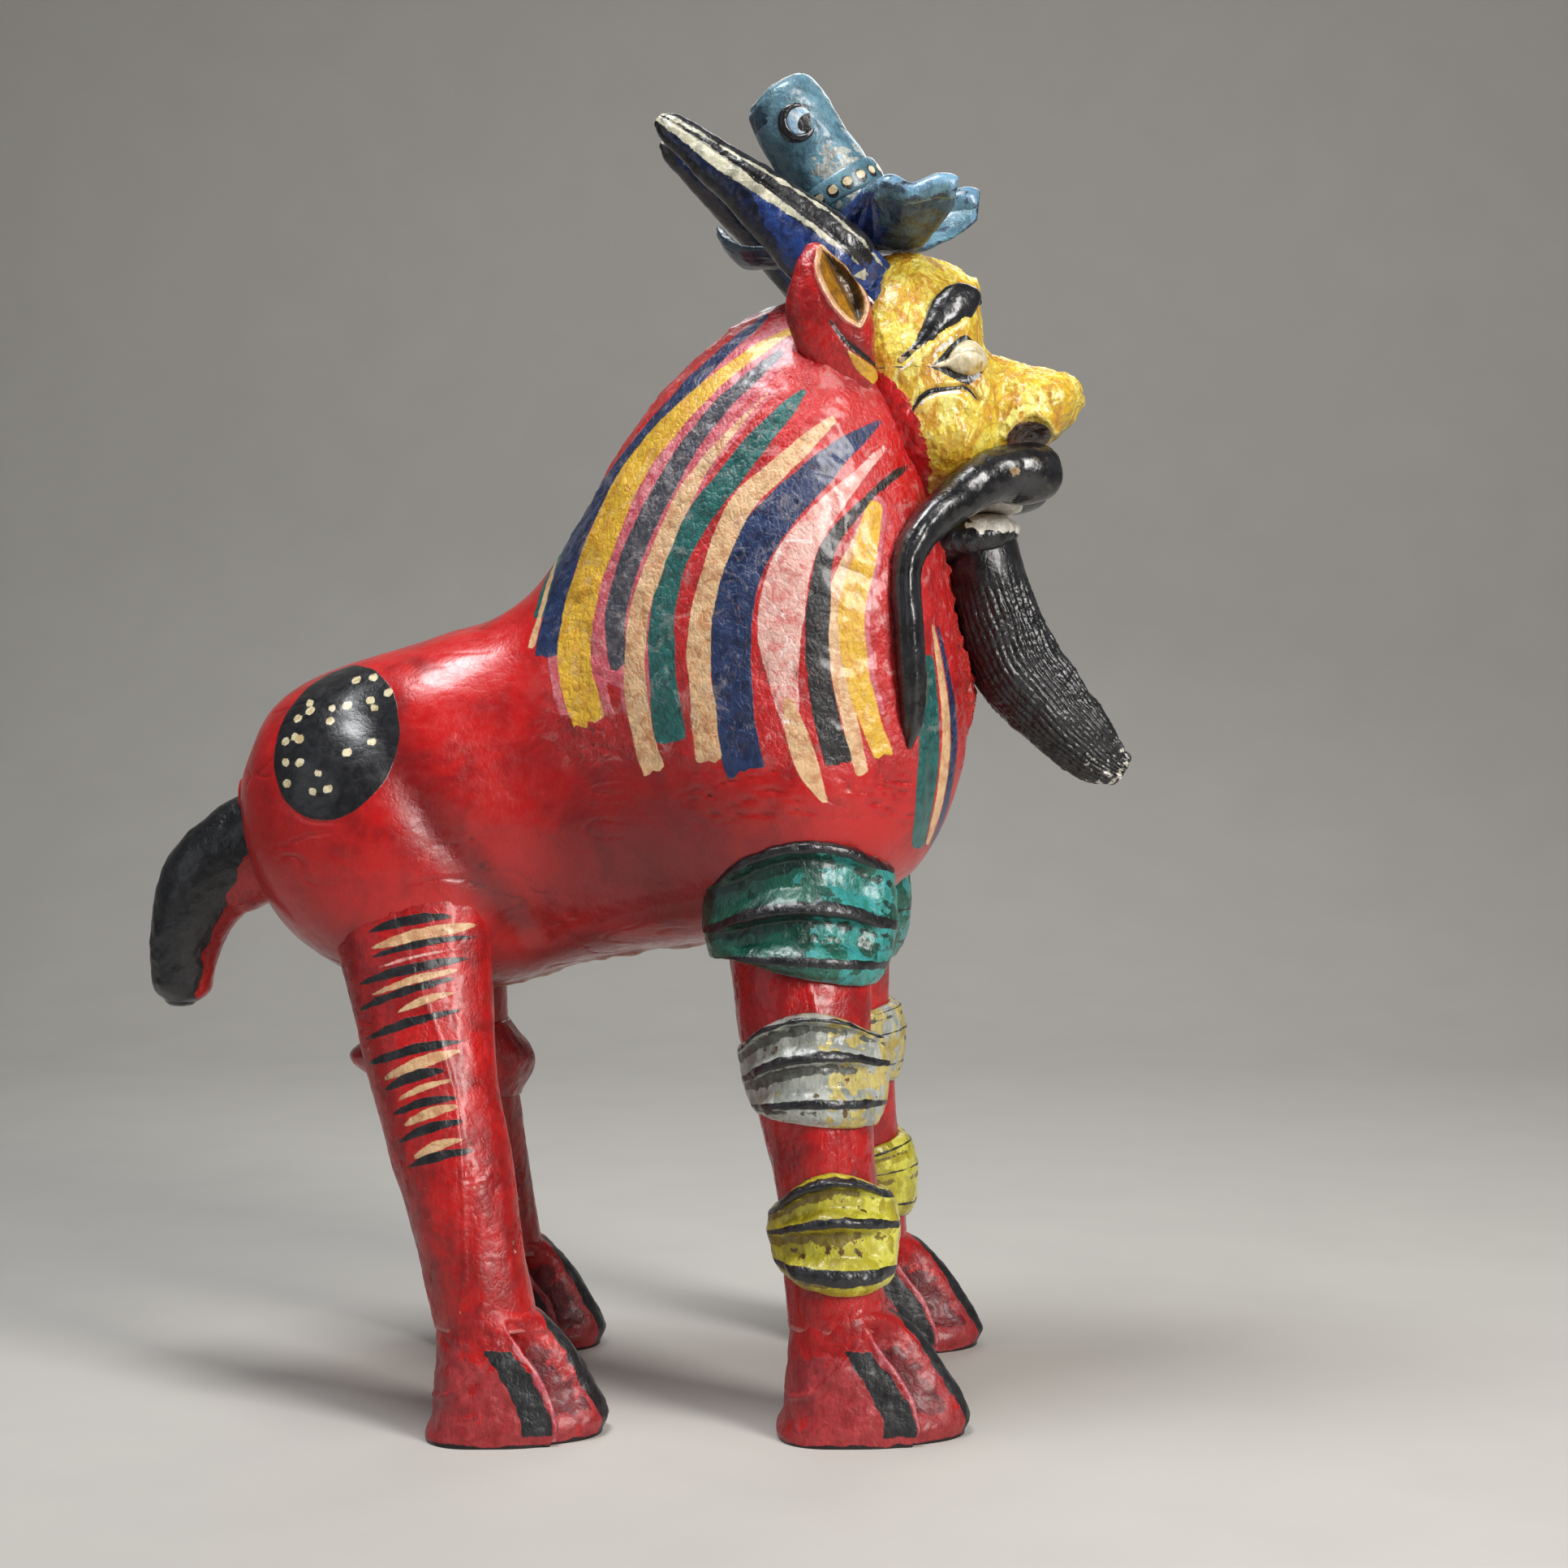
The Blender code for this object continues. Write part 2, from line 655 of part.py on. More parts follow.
def make_legs(body, armature):
    for word, side in SIDES.items():
        front, hind = FRONT_LEG, HIND_LEG
        if side == LEFT:
            front = staggered(front, FRONT_STAGGER, FRONT_STAGGER_HEIGHT)
            hind = staggered(hind, HIND_STAGGER, HIND_STAGGER_HEIGHT)
        cut(make_leg(f"front_leg_{word}", front, side), body, armature)
        cut(make_leg(f"hind_leg_{word}", hind, side), body, armature)
        for band, profile in (("teal", TEAL_BAND), ("cream", CREAM_BAND), ("yellow", YELLOW_BAND)):
            relief = make_band(
                f"{band}_band_{word}", front, profile, side, f"{band}_paint",
                spur=BAND_SPUR, front=BAND_FRONT,
            )
            if band == "teal":
                cut(relief, body)
        if side == LEFT:
            make_band("hind_knee_band", hind, KNEE_BAND, side, "scarlet_paint", spur=KNEE_SPUR)
        for leg, rows, length, overhang in (("front", front, 74, 3), ("hind", hind, 69, 0.5)):
            ankle_x, ankle_y, _, half_length, _ = rows[-1]
            heel = ankle_x - half_length - overhang
            paw = make_paw(f"{leg}_paw_{word}", heel, ankle_y + 1, length, side)
            cut(paw, armature)


def main():
    clear_scene()
    armature = make_armature()
    body = make_body(armature)
    head, jaw, teeth = make_head(body, armature)
    make_beard(body, head, jaw, teeth)
    horns = make_horns_and_ears(body, head, armature)
    make_hat(head, horns)
    make_legs(body, armature)
    tail = loft("tail", tube(TAIL, 2, TUBE_SIDES), "black_paint")
    cut(tail, body, armature)


main()
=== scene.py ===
"""Looks of the papier-mache alebrije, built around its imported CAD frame.

The tables are in millimetres in the CAD frame: +X towards the nose, +Z up, the beast's right side
towards -Y. Each visible piece is a dense skin of points that is lofted, sculpted with small moves
and carries its painted shapes as signed distances in millimetres, positive inside the shape.
"""

import functools
import math

import bmesh
import bpy
import numpy as np
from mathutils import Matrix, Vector


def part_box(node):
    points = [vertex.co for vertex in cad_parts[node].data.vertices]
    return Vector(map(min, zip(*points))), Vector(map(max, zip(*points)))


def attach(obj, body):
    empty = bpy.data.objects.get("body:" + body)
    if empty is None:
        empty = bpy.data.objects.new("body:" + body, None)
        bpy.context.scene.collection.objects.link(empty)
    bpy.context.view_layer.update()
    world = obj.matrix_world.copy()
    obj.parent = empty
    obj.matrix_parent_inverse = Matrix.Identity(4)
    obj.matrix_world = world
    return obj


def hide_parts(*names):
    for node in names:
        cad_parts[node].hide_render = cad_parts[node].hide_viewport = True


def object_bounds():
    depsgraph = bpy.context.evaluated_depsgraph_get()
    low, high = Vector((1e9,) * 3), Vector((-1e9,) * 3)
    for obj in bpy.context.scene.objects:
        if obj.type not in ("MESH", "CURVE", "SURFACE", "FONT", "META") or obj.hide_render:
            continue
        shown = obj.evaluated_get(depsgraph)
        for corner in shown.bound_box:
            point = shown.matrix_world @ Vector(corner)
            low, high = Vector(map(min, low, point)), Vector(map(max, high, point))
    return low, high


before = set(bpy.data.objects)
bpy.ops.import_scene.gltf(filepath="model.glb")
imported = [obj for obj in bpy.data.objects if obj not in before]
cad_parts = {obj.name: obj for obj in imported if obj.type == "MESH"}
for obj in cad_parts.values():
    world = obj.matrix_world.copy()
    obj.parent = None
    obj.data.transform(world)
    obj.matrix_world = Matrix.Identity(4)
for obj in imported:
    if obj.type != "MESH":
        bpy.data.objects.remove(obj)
CAD_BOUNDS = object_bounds()

MM = 0.001
RIGHT, LEFT = -1, 1
SIDES = {"right": RIGHT, "left": LEFT}
FRONT_STAGGER = (16.5, 500.0)  # of the left leg at the floor, and the height where it would end
HIND_STAGGER = (-13.0, 260.0)
ACROSS = np.array((0.0, 1.0, 0.0))
FAR = -1e3  # mm, outside every painted shape
TINY = 1e-9
WELD = 0.02  # mm, between the two faces of a sheet

# Stations of the CAD forms. Body, head, jaw, teeth: x, lowest z, z of the widest place, highest
# z, half width, squareness of the lower half.
BODY_SLICES = (
    (-162, 230, 237, 246, 12, 2.3), (-157, 212, 232, 258, 30, 2.3), (-149, 195, 230, 273, 42, 2.4),
    (-136, 181, 228, 284, 52, 2.7), (-118, 170, 228, 291.5, 59, 3.2), (-98, 164, 228, 298, 61, 3.4),
    (-78, 162, 230, 305, 59, 3.2), (-60, 163, 234, 311, 55, 2.7), (-44, 167, 240, 322, 52, 2.3),
    (-30, 170.5, 248, 342, 54, 2.2), (-14, 174, 256, 370, 60, 2.2), (4, 177, 264, 395, 66, 2.2),
    (24, 180, 270, 416.5, 72, 2.4), (46, 183, 272, 432, 76, 2.8), (66, 187, 272, 437.5, 76, 2.9),
    (84, 193, 270, 430, 71, 2.8), (99, 202, 268, 408, 64, 2.5), (110, 211, 267, 375, 55, 2.3),
    (120, 226, 268, 334, 40, 2.3), (127, 246, 271, 301, 22, 2.3), (130, 263, 274, 287, 9, 2.3),
)
HEAD_SLICES = (
    (79, 378, 402, 440, 25), (86, 366, 402, 450, 34), (96, 358, 402, 455.5, 40),
    (108, 354, 400, 457, 42), (120, 354, 398, 453.5, 41), (130, 356, 397, 448, 38),
    (135.5, 360, 396, 441, 35), (138.5, 364, 394, 415, 32), (148, 374, 393, 412, 29),
    (160, 379, 394, 410.5, 27), (170, 382, 395, 408.5, 22), (176, 387, 396, 405, 14),
    (178, 392, 396, 401, 6),
)
JAW_SLICES = (
    (112, 334, 341, 349, 17), (122, 332, 341, 350.5, 20), (136, 333, 342, 351, 20),
    (146, 336, 343, 350.5, 16), (150.5, 340, 344, 348, 8),
)
TEETH_SLICES = (
    (131, 352, 356, 360, 10), (140, 351.8, 356, 361, 12), (148, 352, 356, 361, 10),
    (151.5, 353, 356, 359, 5),
)
# Legs: x, y outwards, z, half length, half width
FRONT_LEG = (
    (62, 42, 226, 31, 24), (62, 47, 203, 30, 24.5), (63.5, 57, 160, 26, 24),
    (69.7, 65, 111, 21, 21.5), (74, 69, 81, 19, 19.5), (76.4, 73, 40, 18.2, 19),
)
HIND_LEG = (
    (-90, 39, 206, 31, 20), (-87.5, 43, 182, 30.5, 20.5), (-80.3, 53, 141, 25.7, 21.5),
    (-73, 61, 110.6, 23.3, 21), (-64.4, 68, 75, 21, 19.5), (-56.5, 73, 40, 19.3, 19),
)
# Curved forms: x, y outwards, z, half width, half height
TAIL = (
    (-150, 0, 220, 18, 22), (-162, 0, 214.5, 18, 22), (-175, 0, 205, 17, 20),
    (-182.5, 0, 191, 15, 16.5), (-186, 0, 175, 13, 13.5), (-187.5, 0, 161, 10.5, 11),
    (-188, 0, 155.5, 5, 6),
)
BEARD = (
    (135.5, 0, 341, 17.2, 14.4), (138, 0, 326, 18, 15.8), (142.2, 0, 311, 18, 17.2),
    (146.5, 0, 299, 17.5, 18.4), (153, 0, 287.5, 16.5, 18.4), (168, 0, 270.5, 14.5, 15.8),
    (181.5, 0, 256.8, 11, 12.4), (192, 0, 249.2, 7, 6.8),
)
MOUSTACHE = (
    (161.2, 15, 368, 8, 7.5), (158.5, 17, 367.6, 12, 11), (151, 23, 366.6, 13, 12.6),
    (143, 28.5, 366.4, 11, 11.2), (135.5, 33.5, 363.4, 10, 10.3), (125.6, 41, 356.8, 9.5, 8.9),
    (113, 50.5, 346, 9.5, 7.5), (106, 56.5, 336, 9.5, 6.5), (102.9, 59, 326, 10, 6.2),
    (103.2, 60, 312, 10, 6.0), (104.2, 60.5, 296, 9.5, 6.0), (105.2, 60.5, 283, 9, 5.8),
    (105.2, 59.5, 270, 7.5, 4.6), (103.8, 58, 260, 4.5, 2.4),
)
HORN = (
    (92, 29, 433, 9, 16), (86, 29, 438, 9, 16), (68, 30, 454, 9.5, 15.5), (46, 28, 473.5, 8.5, 12),
    (26, 24, 490.5, 6.5, 8.5), (12, 21, 502, 4.5, 6), (7.5, 20, 505.5, 2, 3),
)
EAR = (
    (88, 40, 399, 5, 6), (79, 45, 412, 7, 14), (73, 48, 427, 7.5, 16), (69.5, 48, 441, 6, 11),
    (67, 47, 452, 2, 3),
)
BROW = (
    (133, 24, 434, 1.2, 1.4), (130.5, 26.5, 434.6, 3.6, 5.0), (126, 29.5, 433.0, 4.6, 7.9),
    (121, 32.5, 428.6, 4.8, 8.2), (116, 35.5, 422.4, 4.2, 6.0), (111, 37.5, 416.2, 3.2, 3.9),
    (106, 39, 411.8, 2.6, 2.9), (101.5, 40, 408.4, 1.6, 1.7),
)
EYE = (
    (114.0, 41.2, 406.2, 0.4, 0.2), (116.5, 40.2, 407.0, 1.6, 0.9), (119.5, 38.2, 408.2, 2.2, 1.6),
    (121.8, 36.8, 409.2, 3.6, 3.6), (124.0, 35.2, 409.9, 5.6, 5.8), (126.5, 33.8, 410.1, 6.8, 7.1),
    (129.2, 32.8, 410.1, 7.2, 7.5), (132.2, 31.6, 409.9, 6.4, 6.5), (134.6, 30.2, 409.6, 4.6, 4.4),
    (136.2, 29.0, 409.4, 0.8, 0.8),
)
# Brim at x: z of its middle line, half width, rise of its sides
BRIM = (
    (30, 466, 6, 1), (34, 458, 12, 3), (42, 452.5, 16, 5), (58, 452.5, 17, 5), (72, 456, 21, 6),
    (80, 458, 27, 10), (88, 459, 33, 17.5), (96, 459, 37.5, 22), (104, 459, 38.5, 18.5),
    (113, 459.5, 38, 22), (120, 460, 37, 20.5),
)
# Hollow of the ear: x, z, half width
EAR_HOLLOW = ((85, 421, 0.3), (82.6, 428, 5.2), (78.6, 436, 6.8), (74.5, 443, 5.4), (70.6, 450.5, 0.4))
# Relief rings: top and bottom edges, ridges, and thickness at the back, the front and the inside.
# Edges and ridges give z in the middle of the outer face, how much it droops to the leg's edges and
# its tilt from back to front; ridges add their height and the half width of their black paint.
RELIEF = {
    "teal": (
        ((225.0, 13.0, 3.0), (171.8, -2.6, -6.4)),
        ((221.6, 13.5, 3.3, 7.6, 2.6), (198.5, 9.3, 1.0, 8.6, 2.9), (178.8, 1.7, -1.2, 7.4, 1.7)),
        (8.0, 8.4, 3.0),
    ),
    "cream": (
        ((159.4, 11.8, 2.5), (117.0, -0.8, -2.4)),
        ((157.4, 11.8, 2.5, 5.6, 0.9), (143.6, 8.1, 3.3, 6.6, 1.9), (126.2, 2.9, 0.9, 6.2, 1.7)),
        (2.6, 6.6, 2.0),
    ),
    "yellow": (
        ((100.0, 11.0, 3.6), (54.6, -3.3, -2.0)),
        ((97.0, 11.1, 3.6, 6.8, 2.2), (82.6, 5.4, 1.6, 7.2, 1.9), (62.2, -1.8, -1.6, 7.4, 2.9)),
        (5.2, 6.8, 2.4),
    ),
    "knee": (((143, 2, 2), (109, -1, -1)), ((127, 1, 0, 7.0, 0),), (20, 8.5, 3.0)),
}
CRESCENT_PLACE = 0.58  # share of the crown's length
CROWN = (
    (86, 0, 466, 17.5, 17.5), (79, 0, 480, 17.3, 17.3), (66, 0, 500, 16.8, 16.8),
    (55.5, 0, 517, 16.3, 16.3), (52.8, 0, 521.2, 13.5, 13.5),
)
# Painted stripes of the mane, the same on both sides: x, z, half width of the brush line
MANE = {
    "teal": (
        ((-26, 350, 2.2), (-33, 330, 3.6), (-40, 309, 2.2)),
        ((64, 395, 1.6), (48, 377, 4.2), (26, 349, 4.8), (13, 324, 4.8), (10, 296, 5.2), (13, 261, 6.2)),
    ),
    "navy": (
        ((49, 428, 1.6), (24, 404, 3.2), (3, 380, 3.8), (-22, 347, 4.0), (-31, 319, 4.4),
         (-35, 294, 4.6)),
        ((93, 384, 1.4), (74, 368, 5.2), (54, 347, 7.4), (41, 328, 7.8), (36, 302, 7.8),
         (39, 263, 7.4), (42, 250, 7.0)),
    ),
    "yellow": (
        ((61, 422, 1.5), (30, 401, 3.4), (0, 369, 5.2), (-16, 334, 6.0), (-23, 309, 6.4),
         (-24, 289, 6.8), (-18, 268, 6.8)),
        ((91, 350, 3.2), (86, 328, 4.8), (82, 308, 5.0), (85, 283, 4.6), (94, 256, 4.0)),
    ),
    "slate": (
        ((55, 411, 1.6), (27, 384, 3.6), (5, 348, 4.0), (-8, 312, 4.2), (-6, 289, 3.6)),
    ),
    "cream": (
        ((50, 394, 0.8), (36, 379, 1.6), (21, 359, 3.0), (7, 328, 3.6), (0, 302, 3.8),
         (1, 272, 4.4), (7, 250, 4.2)),
        ((75, 384, 1.8), (57, 367, 4.0), (39, 349, 4.2), (28, 321, 4.2), (24, 295, 4.4), (28, 254, 4.8)),
        ((87, 345, 0.8), (77, 321, 2.8), (76, 295, 3.0), (81, 270, 3.2), (86, 249, 2.8)),
        ((-33, 341, 0.5), (-37, 319, 1.0), (-42, 298, 0.8)),
        ((58, 276, 2.0), (61, 264, 4.2), (66, 250, 4.0), (72, 238, 1.4)),
    ),
    "rose": (
        ((95, 374, 1.0), (80, 357, 3.0), (62, 334, 7.0), (55, 306, 8.4), (57, 280, 5.0), (60, 262, 2.6)),
    ),
    "black": (
        ((108, 371, 0.6), (96, 361, 1.8), (87, 352, 1.6), (73, 334, 3.4), (69, 308, 4.2),
         (70, 283, 4.6), (77, 253, 5.2)),
    ),
}
CHEST = {
    "teal": (((112, 292, 2.5), (112.5, 268, 4.2), (111.5, 246, 4.2), (109, 222, 3.0)),),
    "cream": (((114, 306, 0.6), (118, 283, 1.5), (119.5, 261, 1.8), (117, 237, 1.6), (113, 221, 0.8)),),
    "navy": (((116, 306, 0.5), (121, 283, 1.2), (123, 261, 1.5), (120, 236, 1.3), (115, 219, 0.6)),),
}
OVAL = ((-116.5, 261), (24.5, 30.5), -18)  # centre, half sizes and lean in degrees
OVAL_DOTS = (
    (-111, 285), (-104, 286), (-119, 274), (-113, 275), (-119, 269), (-129, 276), (-128, 273),
    (-133, 270), (-133, 263), (-131, 262), (-137, 261), (-136, 253), (-130, 253), (-135, 245),
    (-122, 249), (-111, 257), (-102, 261), (-124, 242), (-118, 243), (-104, 277), (-102, 274),
    (-97, 280),
)
# Lens-shaped marks on the outside of a hind leg: x and z of both ends, and thickness
LEG_BLACK = (
    (-103, 188, -70, 194, 4.484), (-102, 178.5, -61, 186, 3.304), (-107, 168, -63, 178, 4.248),
    (-107, 158, -68, 171, 3.776), (-104, 147, -66, 159, 4.012), (-103, 138, -65, 147.5, 4.484),
    (-95, 129, -71, 137, 4.484), (-92, 120, -66, 127, 3.776), (-89, 110, -64, 118.5, 4.248),
    (-86, 100.5, -60, 107.5, 4.012),
)
LEG_CREAM = (
    (-102, 182, -61, 190.5, 5.2), (-101, 164.5, -67, 174, 3.6), (-91, 158, -68, 165.5, 3.2),
    (-95, 133.5, -66, 144, 5.0), (-90, 125.5, -69, 133.5, 3.0), (-87, 116.5, -66, 124, 4.4),
    (-83, 104.5, -64, 112, 4.0),
)
LEG_ROSE = ((-101, 174, -66, 182, 1.6), (-99, 149, -73, 157.5, 2.6))

# Paint colours: red, green and blue of two shades in 8-bit display values
SHADES = {
    "scarlet": (192, 20, 20, 150, 14, 18), "crimson": (96, 8, 12, 58, 5, 8),
    "maroon": (124, 22, 30, 92, 14, 22), "umber": (112, 80, 32, 84, 58, 24),
    "black": (20, 20, 23, 38, 38, 42), "slate": (58, 60, 70, 96, 92, 96),
    "navy": (36, 54, 94, 18, 30, 62), "teal": (30, 100, 82, 14, 62, 52),
    "lagoon": (30, 98, 94, 16, 68, 66), "bottle": (22, 64, 54, 12, 42, 38),
    "ash": (184, 188, 180, 138, 144, 138), "lead": (94, 98, 90, 66, 68, 62),
    "khaki": (136, 120, 34, 104, 86, 26), "turquoise": (60, 160, 160, 44, 132, 118),
    "cream": (220, 182, 138, 198, 142, 100), "rose": (226, 180, 170, 206, 122, 116),
    "pink": (190, 78, 92, 208, 122, 126), "dull_pink": (172, 52, 56, 150, 34, 40),
    "yellow": (224, 178, 52, 204, 146, 40), "lemon": (222, 196, 62, 206, 166, 46),
    "pale_lemon": (238, 230, 132, 228, 210, 96), "amber": (206, 150, 44, 184, 122, 34),
    "azure": (40, 68, 134, 22, 38, 84), "lime": (200, 192, 54, 164, 150, 34),
    "lemon_lime": (224, 220, 92, 206, 198, 60), "straw": (206, 192, 120, 176, 156, 84),
    "ochre": (168, 116, 24, 120, 78, 18), "ivory": (224, 214, 182, 190, 168, 120),
    "white": (236, 232, 222, 206, 200, 186), "silver": (180, 184, 176, 128, 132, 130),
    "sky": (104, 146, 164, 66, 102, 118), "steel": (64, 92, 112, 36, 54, 70),
    "midnight": (16, 27, 62, 9, 13, 30), "glint": (130, 176, 214, 210, 220, 226),
    "nostril": (98, 66, 52, 58, 36, 30), "paper": (196, 172, 136, 150, 122, 88),
    "sand": (206, 178, 112, 176, 140, 78), "bone": (206, 202, 178, 150, 150, 132),
    "soot": (30, 12, 12, 18, 10, 10),
}
# Paint layers from the lowest up: mark, wobble of its edge in mm, share worn away
MANE_LAYERS = (
    ("pink", 0.9, 0.5), ("slate", 0.5, 0.3), ("rose", 0.8, 0.4), ("teal", 0.35, 0.15),
    ("navy", 0.35, 0.15), ("cream", 0.4, 0.2), ("yellow", 0.3, 0.1), ("black", 0.3, 0.0),
)
# The same for the face, with the colour and without the wear
FACE_LAYERS = (
    ("glow", "pale_lemon", 1.6), ("stain_and_shade", "ochre", 2.4), ("azure", "azure", 1.2),
    ("red", "scarlet", 2.2), ("brown", "nostril", 0.9), ("white", "white", 1.2),
    ("black", "black", 0.35),
)
# Every other paint: base colour, layers (mark, colour, wobble, share worn away), and what differs
# from the usual paint
# How much each paint darkens its hollows stands for grime and painted shade
USUAL_PAINT = dict(crinkle=0.5, roughness=0.34, coat=0.35, wear=0.35, grime_and_shade=0.6, worn="paper", aged="ochre")
GLOSSY = dict(crinkle=0.35, roughness=0.26, coat=0.5, wear=0.12, grime_and_shade=0.3)
RIDGES = ("black", "black", 0.3, 0.05)
PAINTS = {
    "black_varnish": ("black", (("scrape", "paper", 0.4, 0.0),), GLOSSY),
    "black_varnish_plain": ("black", (), GLOSSY),
    "black_varnish_chipped": (
        "black", (("white", "white", 0.8, 0.2),),
        dict(crinkle=0.7, roughness=0.3, wear=0.3, grime_and_shade=0.3, worn="slate"),
    ),
    "white_varnish": (
        "white", (), dict(crinkle=0.3, roughness=0.36, coat=0.3, wear=0.1, worn="white"),
    ),
    "eye_ivory": (
        "ivory", (("gold", "sand", 1.6, 0.0),),
        dict(crinkle=0.4, roughness=0.3, coat=0.4, wear=0.1, worn="white"),
    ),
    "horn_paint": (
        "black",
        (("navy", "midnight", 1.4, 0.1), ("blue", "azure", 1.6, 0.15), ("ivory", "bone", 1.2, 0.3)),
        dict(roughness=0.28, coat=0.45, wear=0.15, worn="slate"),
    ),
    "ear_paint": (
        "scarlet",
        (("yellow", "yellow", 0.6, 0.0), ("ochre", "ochre", 0.5, 0.0), ("dusk", "umber", 1.0, 0.0),
         ("ivory", "cream", 0.4, 0.3), ("black", "black", 0.3, 0.0)),
        dict(crinkle=0.7, wear=0.3, worn="rose"),
    ),
    "hat_paint": (
        "sky",
        (("dark", "steel", 3.0, 0.0), ("chalk", "silver", 3.0, 0.7), ("black", "black", 0.3, 0.0),
         ("glint", "glint", 0.4, 0.2)),
        dict(crinkle=0.8, roughness=0.32, coat=0.4, wear=0.3, worn="silver", aged="slate"),
    ),
    "hat_band_paint": ("sky", (("black", "black", 0.5, 0.0), ("ivory", "ivory", 0.3, 0.0)), {}),
    "hat_brim_paint": (
        "sky", (("dark", "steel", 2.2, 0.0), ("violet", "azure", 2.0, 0.3)),
        dict(crinkle=0.7, roughness=0.3, coat=0.4, wear=0.45, worn="glint", aged="slate", grime_and_shade=0.2),
    ),
    "scarlet_leg": (
        "scarlet", (("peel", "rose", 0.6, 0.3),), dict(crinkle=0.55, wear=0.3, worn="rose"),
    ),
    "scarlet_leg_marked": (
        "scarlet",
        (("peel", "rose", 0.6, 0.0), ("rose", "rose", 0.5, 0.3), ("cream", "cream", 0.7, 0.45),
         ("black", "black", 0.5, 0.1)),
        dict(wear=0.3, worn="rose", roughness=0.4, coat=0.25),
    ),
    "scarlet_paw": (
        "scarlet",
        (("pinkish", "dull_pink", 3.4, 0.2), ("deep", "maroon", 2.4, 0.3),
         ("crease", "pink", 1.0, 0.2), ("black", "black", 0.5, 0.14), ("soot", "soot", 0.6, 0.0)),
        dict(crinkle=0.55, roughness=0.44, coat=0.12, wear=0.45, worn="pink"),
    ),
    "scarlet_knee": ("scarlet", (), dict(crinkle=0.6, wear=0.3, worn="rose")),
    "tail_paint": (
        "scarlet", (("black", "black", 1.2, 0.0),), dict(crinkle=0.6, wear=0.3, worn="rose"),
    ),
    # On the relief rings, light is a painted highlight, shade is painted shade, and the umber is stain with
    # painted shade
    "teal_relief": (
        "teal", (("light", "turquoise", 4.0, 0.6), ("shade", "bottle", 3.0, 0.3), RIDGES),
        dict(crinkle=0.7, wear=0.5, worn="turquoise", grime_and_shade=0.7, aged="slate"),
    ),
    "cream_relief": (
        "ash",
        (("light", "straw", 4.0, 0.12), ("shade", "lead", 2.0, 0.3), ("stain_and_shade", "umber", 3.0, 0.75), RIDGES),
        dict(crinkle=0.6, wear=0.5, worn="white", grime_and_shade=0.75),
    ),
    "yellow_relief": (
        "lime",
        (("light", "lemon_lime", 3.0, 0.3), ("shade", "khaki", 3.0, 0.3), ("stain_and_shade", "umber", 3.0, 0.6), RIDGES),
        dict(crinkle=0.6, wear=0.3, worn="straw", grime_and_shade=0.75),
    ),
}


def linear(red, green, blue):
    """A colour given in 8-bit display values."""
    return tuple((c / 255 / 12.92) if c <= 10 else ((c / 255 + 0.055) / 1.055) ** 2.4
                 for c in (red, green, blue)) + (1.0,)


COLOUR = {name: (linear(*row[:3]), linear(*row[3:])) for name, row in SHADES.items()}




# ---------------------------------------------------------------- numbers and noise

def eased(rows, steps=24):
    """Rows read off a smooth curve through the given rows, so many steps a span."""
    rows = np.array(rows, float)
    padded = np.vstack((rows[:1], rows, rows[-1:]))
    t = (np.arange(steps) / steps)[:, None]
    spans = [b + 0.5 * t * (c - a + t * (2 * a - 5 * b + 4 * c - d + t * (3 * b - a - 3 * c + d)))
             for a, b, c, d in zip(padded, padded[1:], padded[2:], padded[3:])]
    return np.vstack((*spans, rows[-1:]))


def evenly(rows, count):
    """The same curve with so many points at equal distances."""
    lengths = np.concatenate(((0,), np.cumsum(np.linalg.norm(np.diff(rows, axis=0), axis=1))))
    places = np.linspace(0, lengths[-1], count)
    return np.stack([np.interp(places, lengths, column) for column in rows.T], axis=1)


def around(columns):
    """Equal angles round a ring."""
    return np.linspace(0, 2 * math.pi, columns + 1)[:-1]


def blend(first, second, share):
    """Row of numbers part way from one to the other."""
    return [a + (b - a) * share for a, b in zip(first, second)]


def smooth(low, high, value):
    """Rises smoothly from 0 at low to 1 at high."""
    t = np.clip((value - low) / (high - low), 0, 1)
    return t * t * (3 - 2 * t)


def bump(value, width):
    """1 in the middle, falling smoothly to 0 at this distance."""
    return np.exp(-(value / width) ** 2 * 2)


def mound(x, z, centre, width, wide=1.0, tall=1.0):
    """A round bump in the side view, stretched by these factors."""
    return bump(np.hypot((x - centre[0]) / wide, (z - centre[1]) / tall), width)


GRADIENTS = np.random.default_rng(7).normal(size=(512, 3))
GRADIENTS /= np.linalg.norm(GRADIENTS, axis=1)[:, None]
SHUFFLE = np.random.default_rng(11).permutation(512)


def noise(points, size, seed=0, octaves=1):
    """Smooth noise from -1 to 1 with features of this size, summed over octaves."""
    flat = points.reshape(-1, 3)
    total = np.zeros(len(flat))
    weight, scale = 1.0, 1.0 / size
    for octave in range(octaves):
        place = flat * scale + 17.3 * (seed + 3 * octave)
        cell = np.floor(place).astype(np.int64)
        rest = place - cell
        ease = rest ** 3 * (rest * (rest * 6 - 15) + 10)
        for corner in np.ndindex(2, 2, 2):
            index = 0
            for axis in range(3):
                index = SHUFFLE[(index + cell[:, axis] + corner[axis]) & 511]
            amount = np.prod(np.where(np.array(corner) == 1, ease, 1 - ease), axis=1)
            total += weight * amount * np.sum((rest - corner) * GRADIENTS[index], axis=1)
        weight *= 0.5
        scale *= 2.0
    return (1.6 * total).reshape(points.shape[:-1])


def cracks(points, size, seed, octaves, width):
    """Thin lines where the noise passes through 0."""
    return bump(np.abs(noise(points, size, seed, octaves)), width)


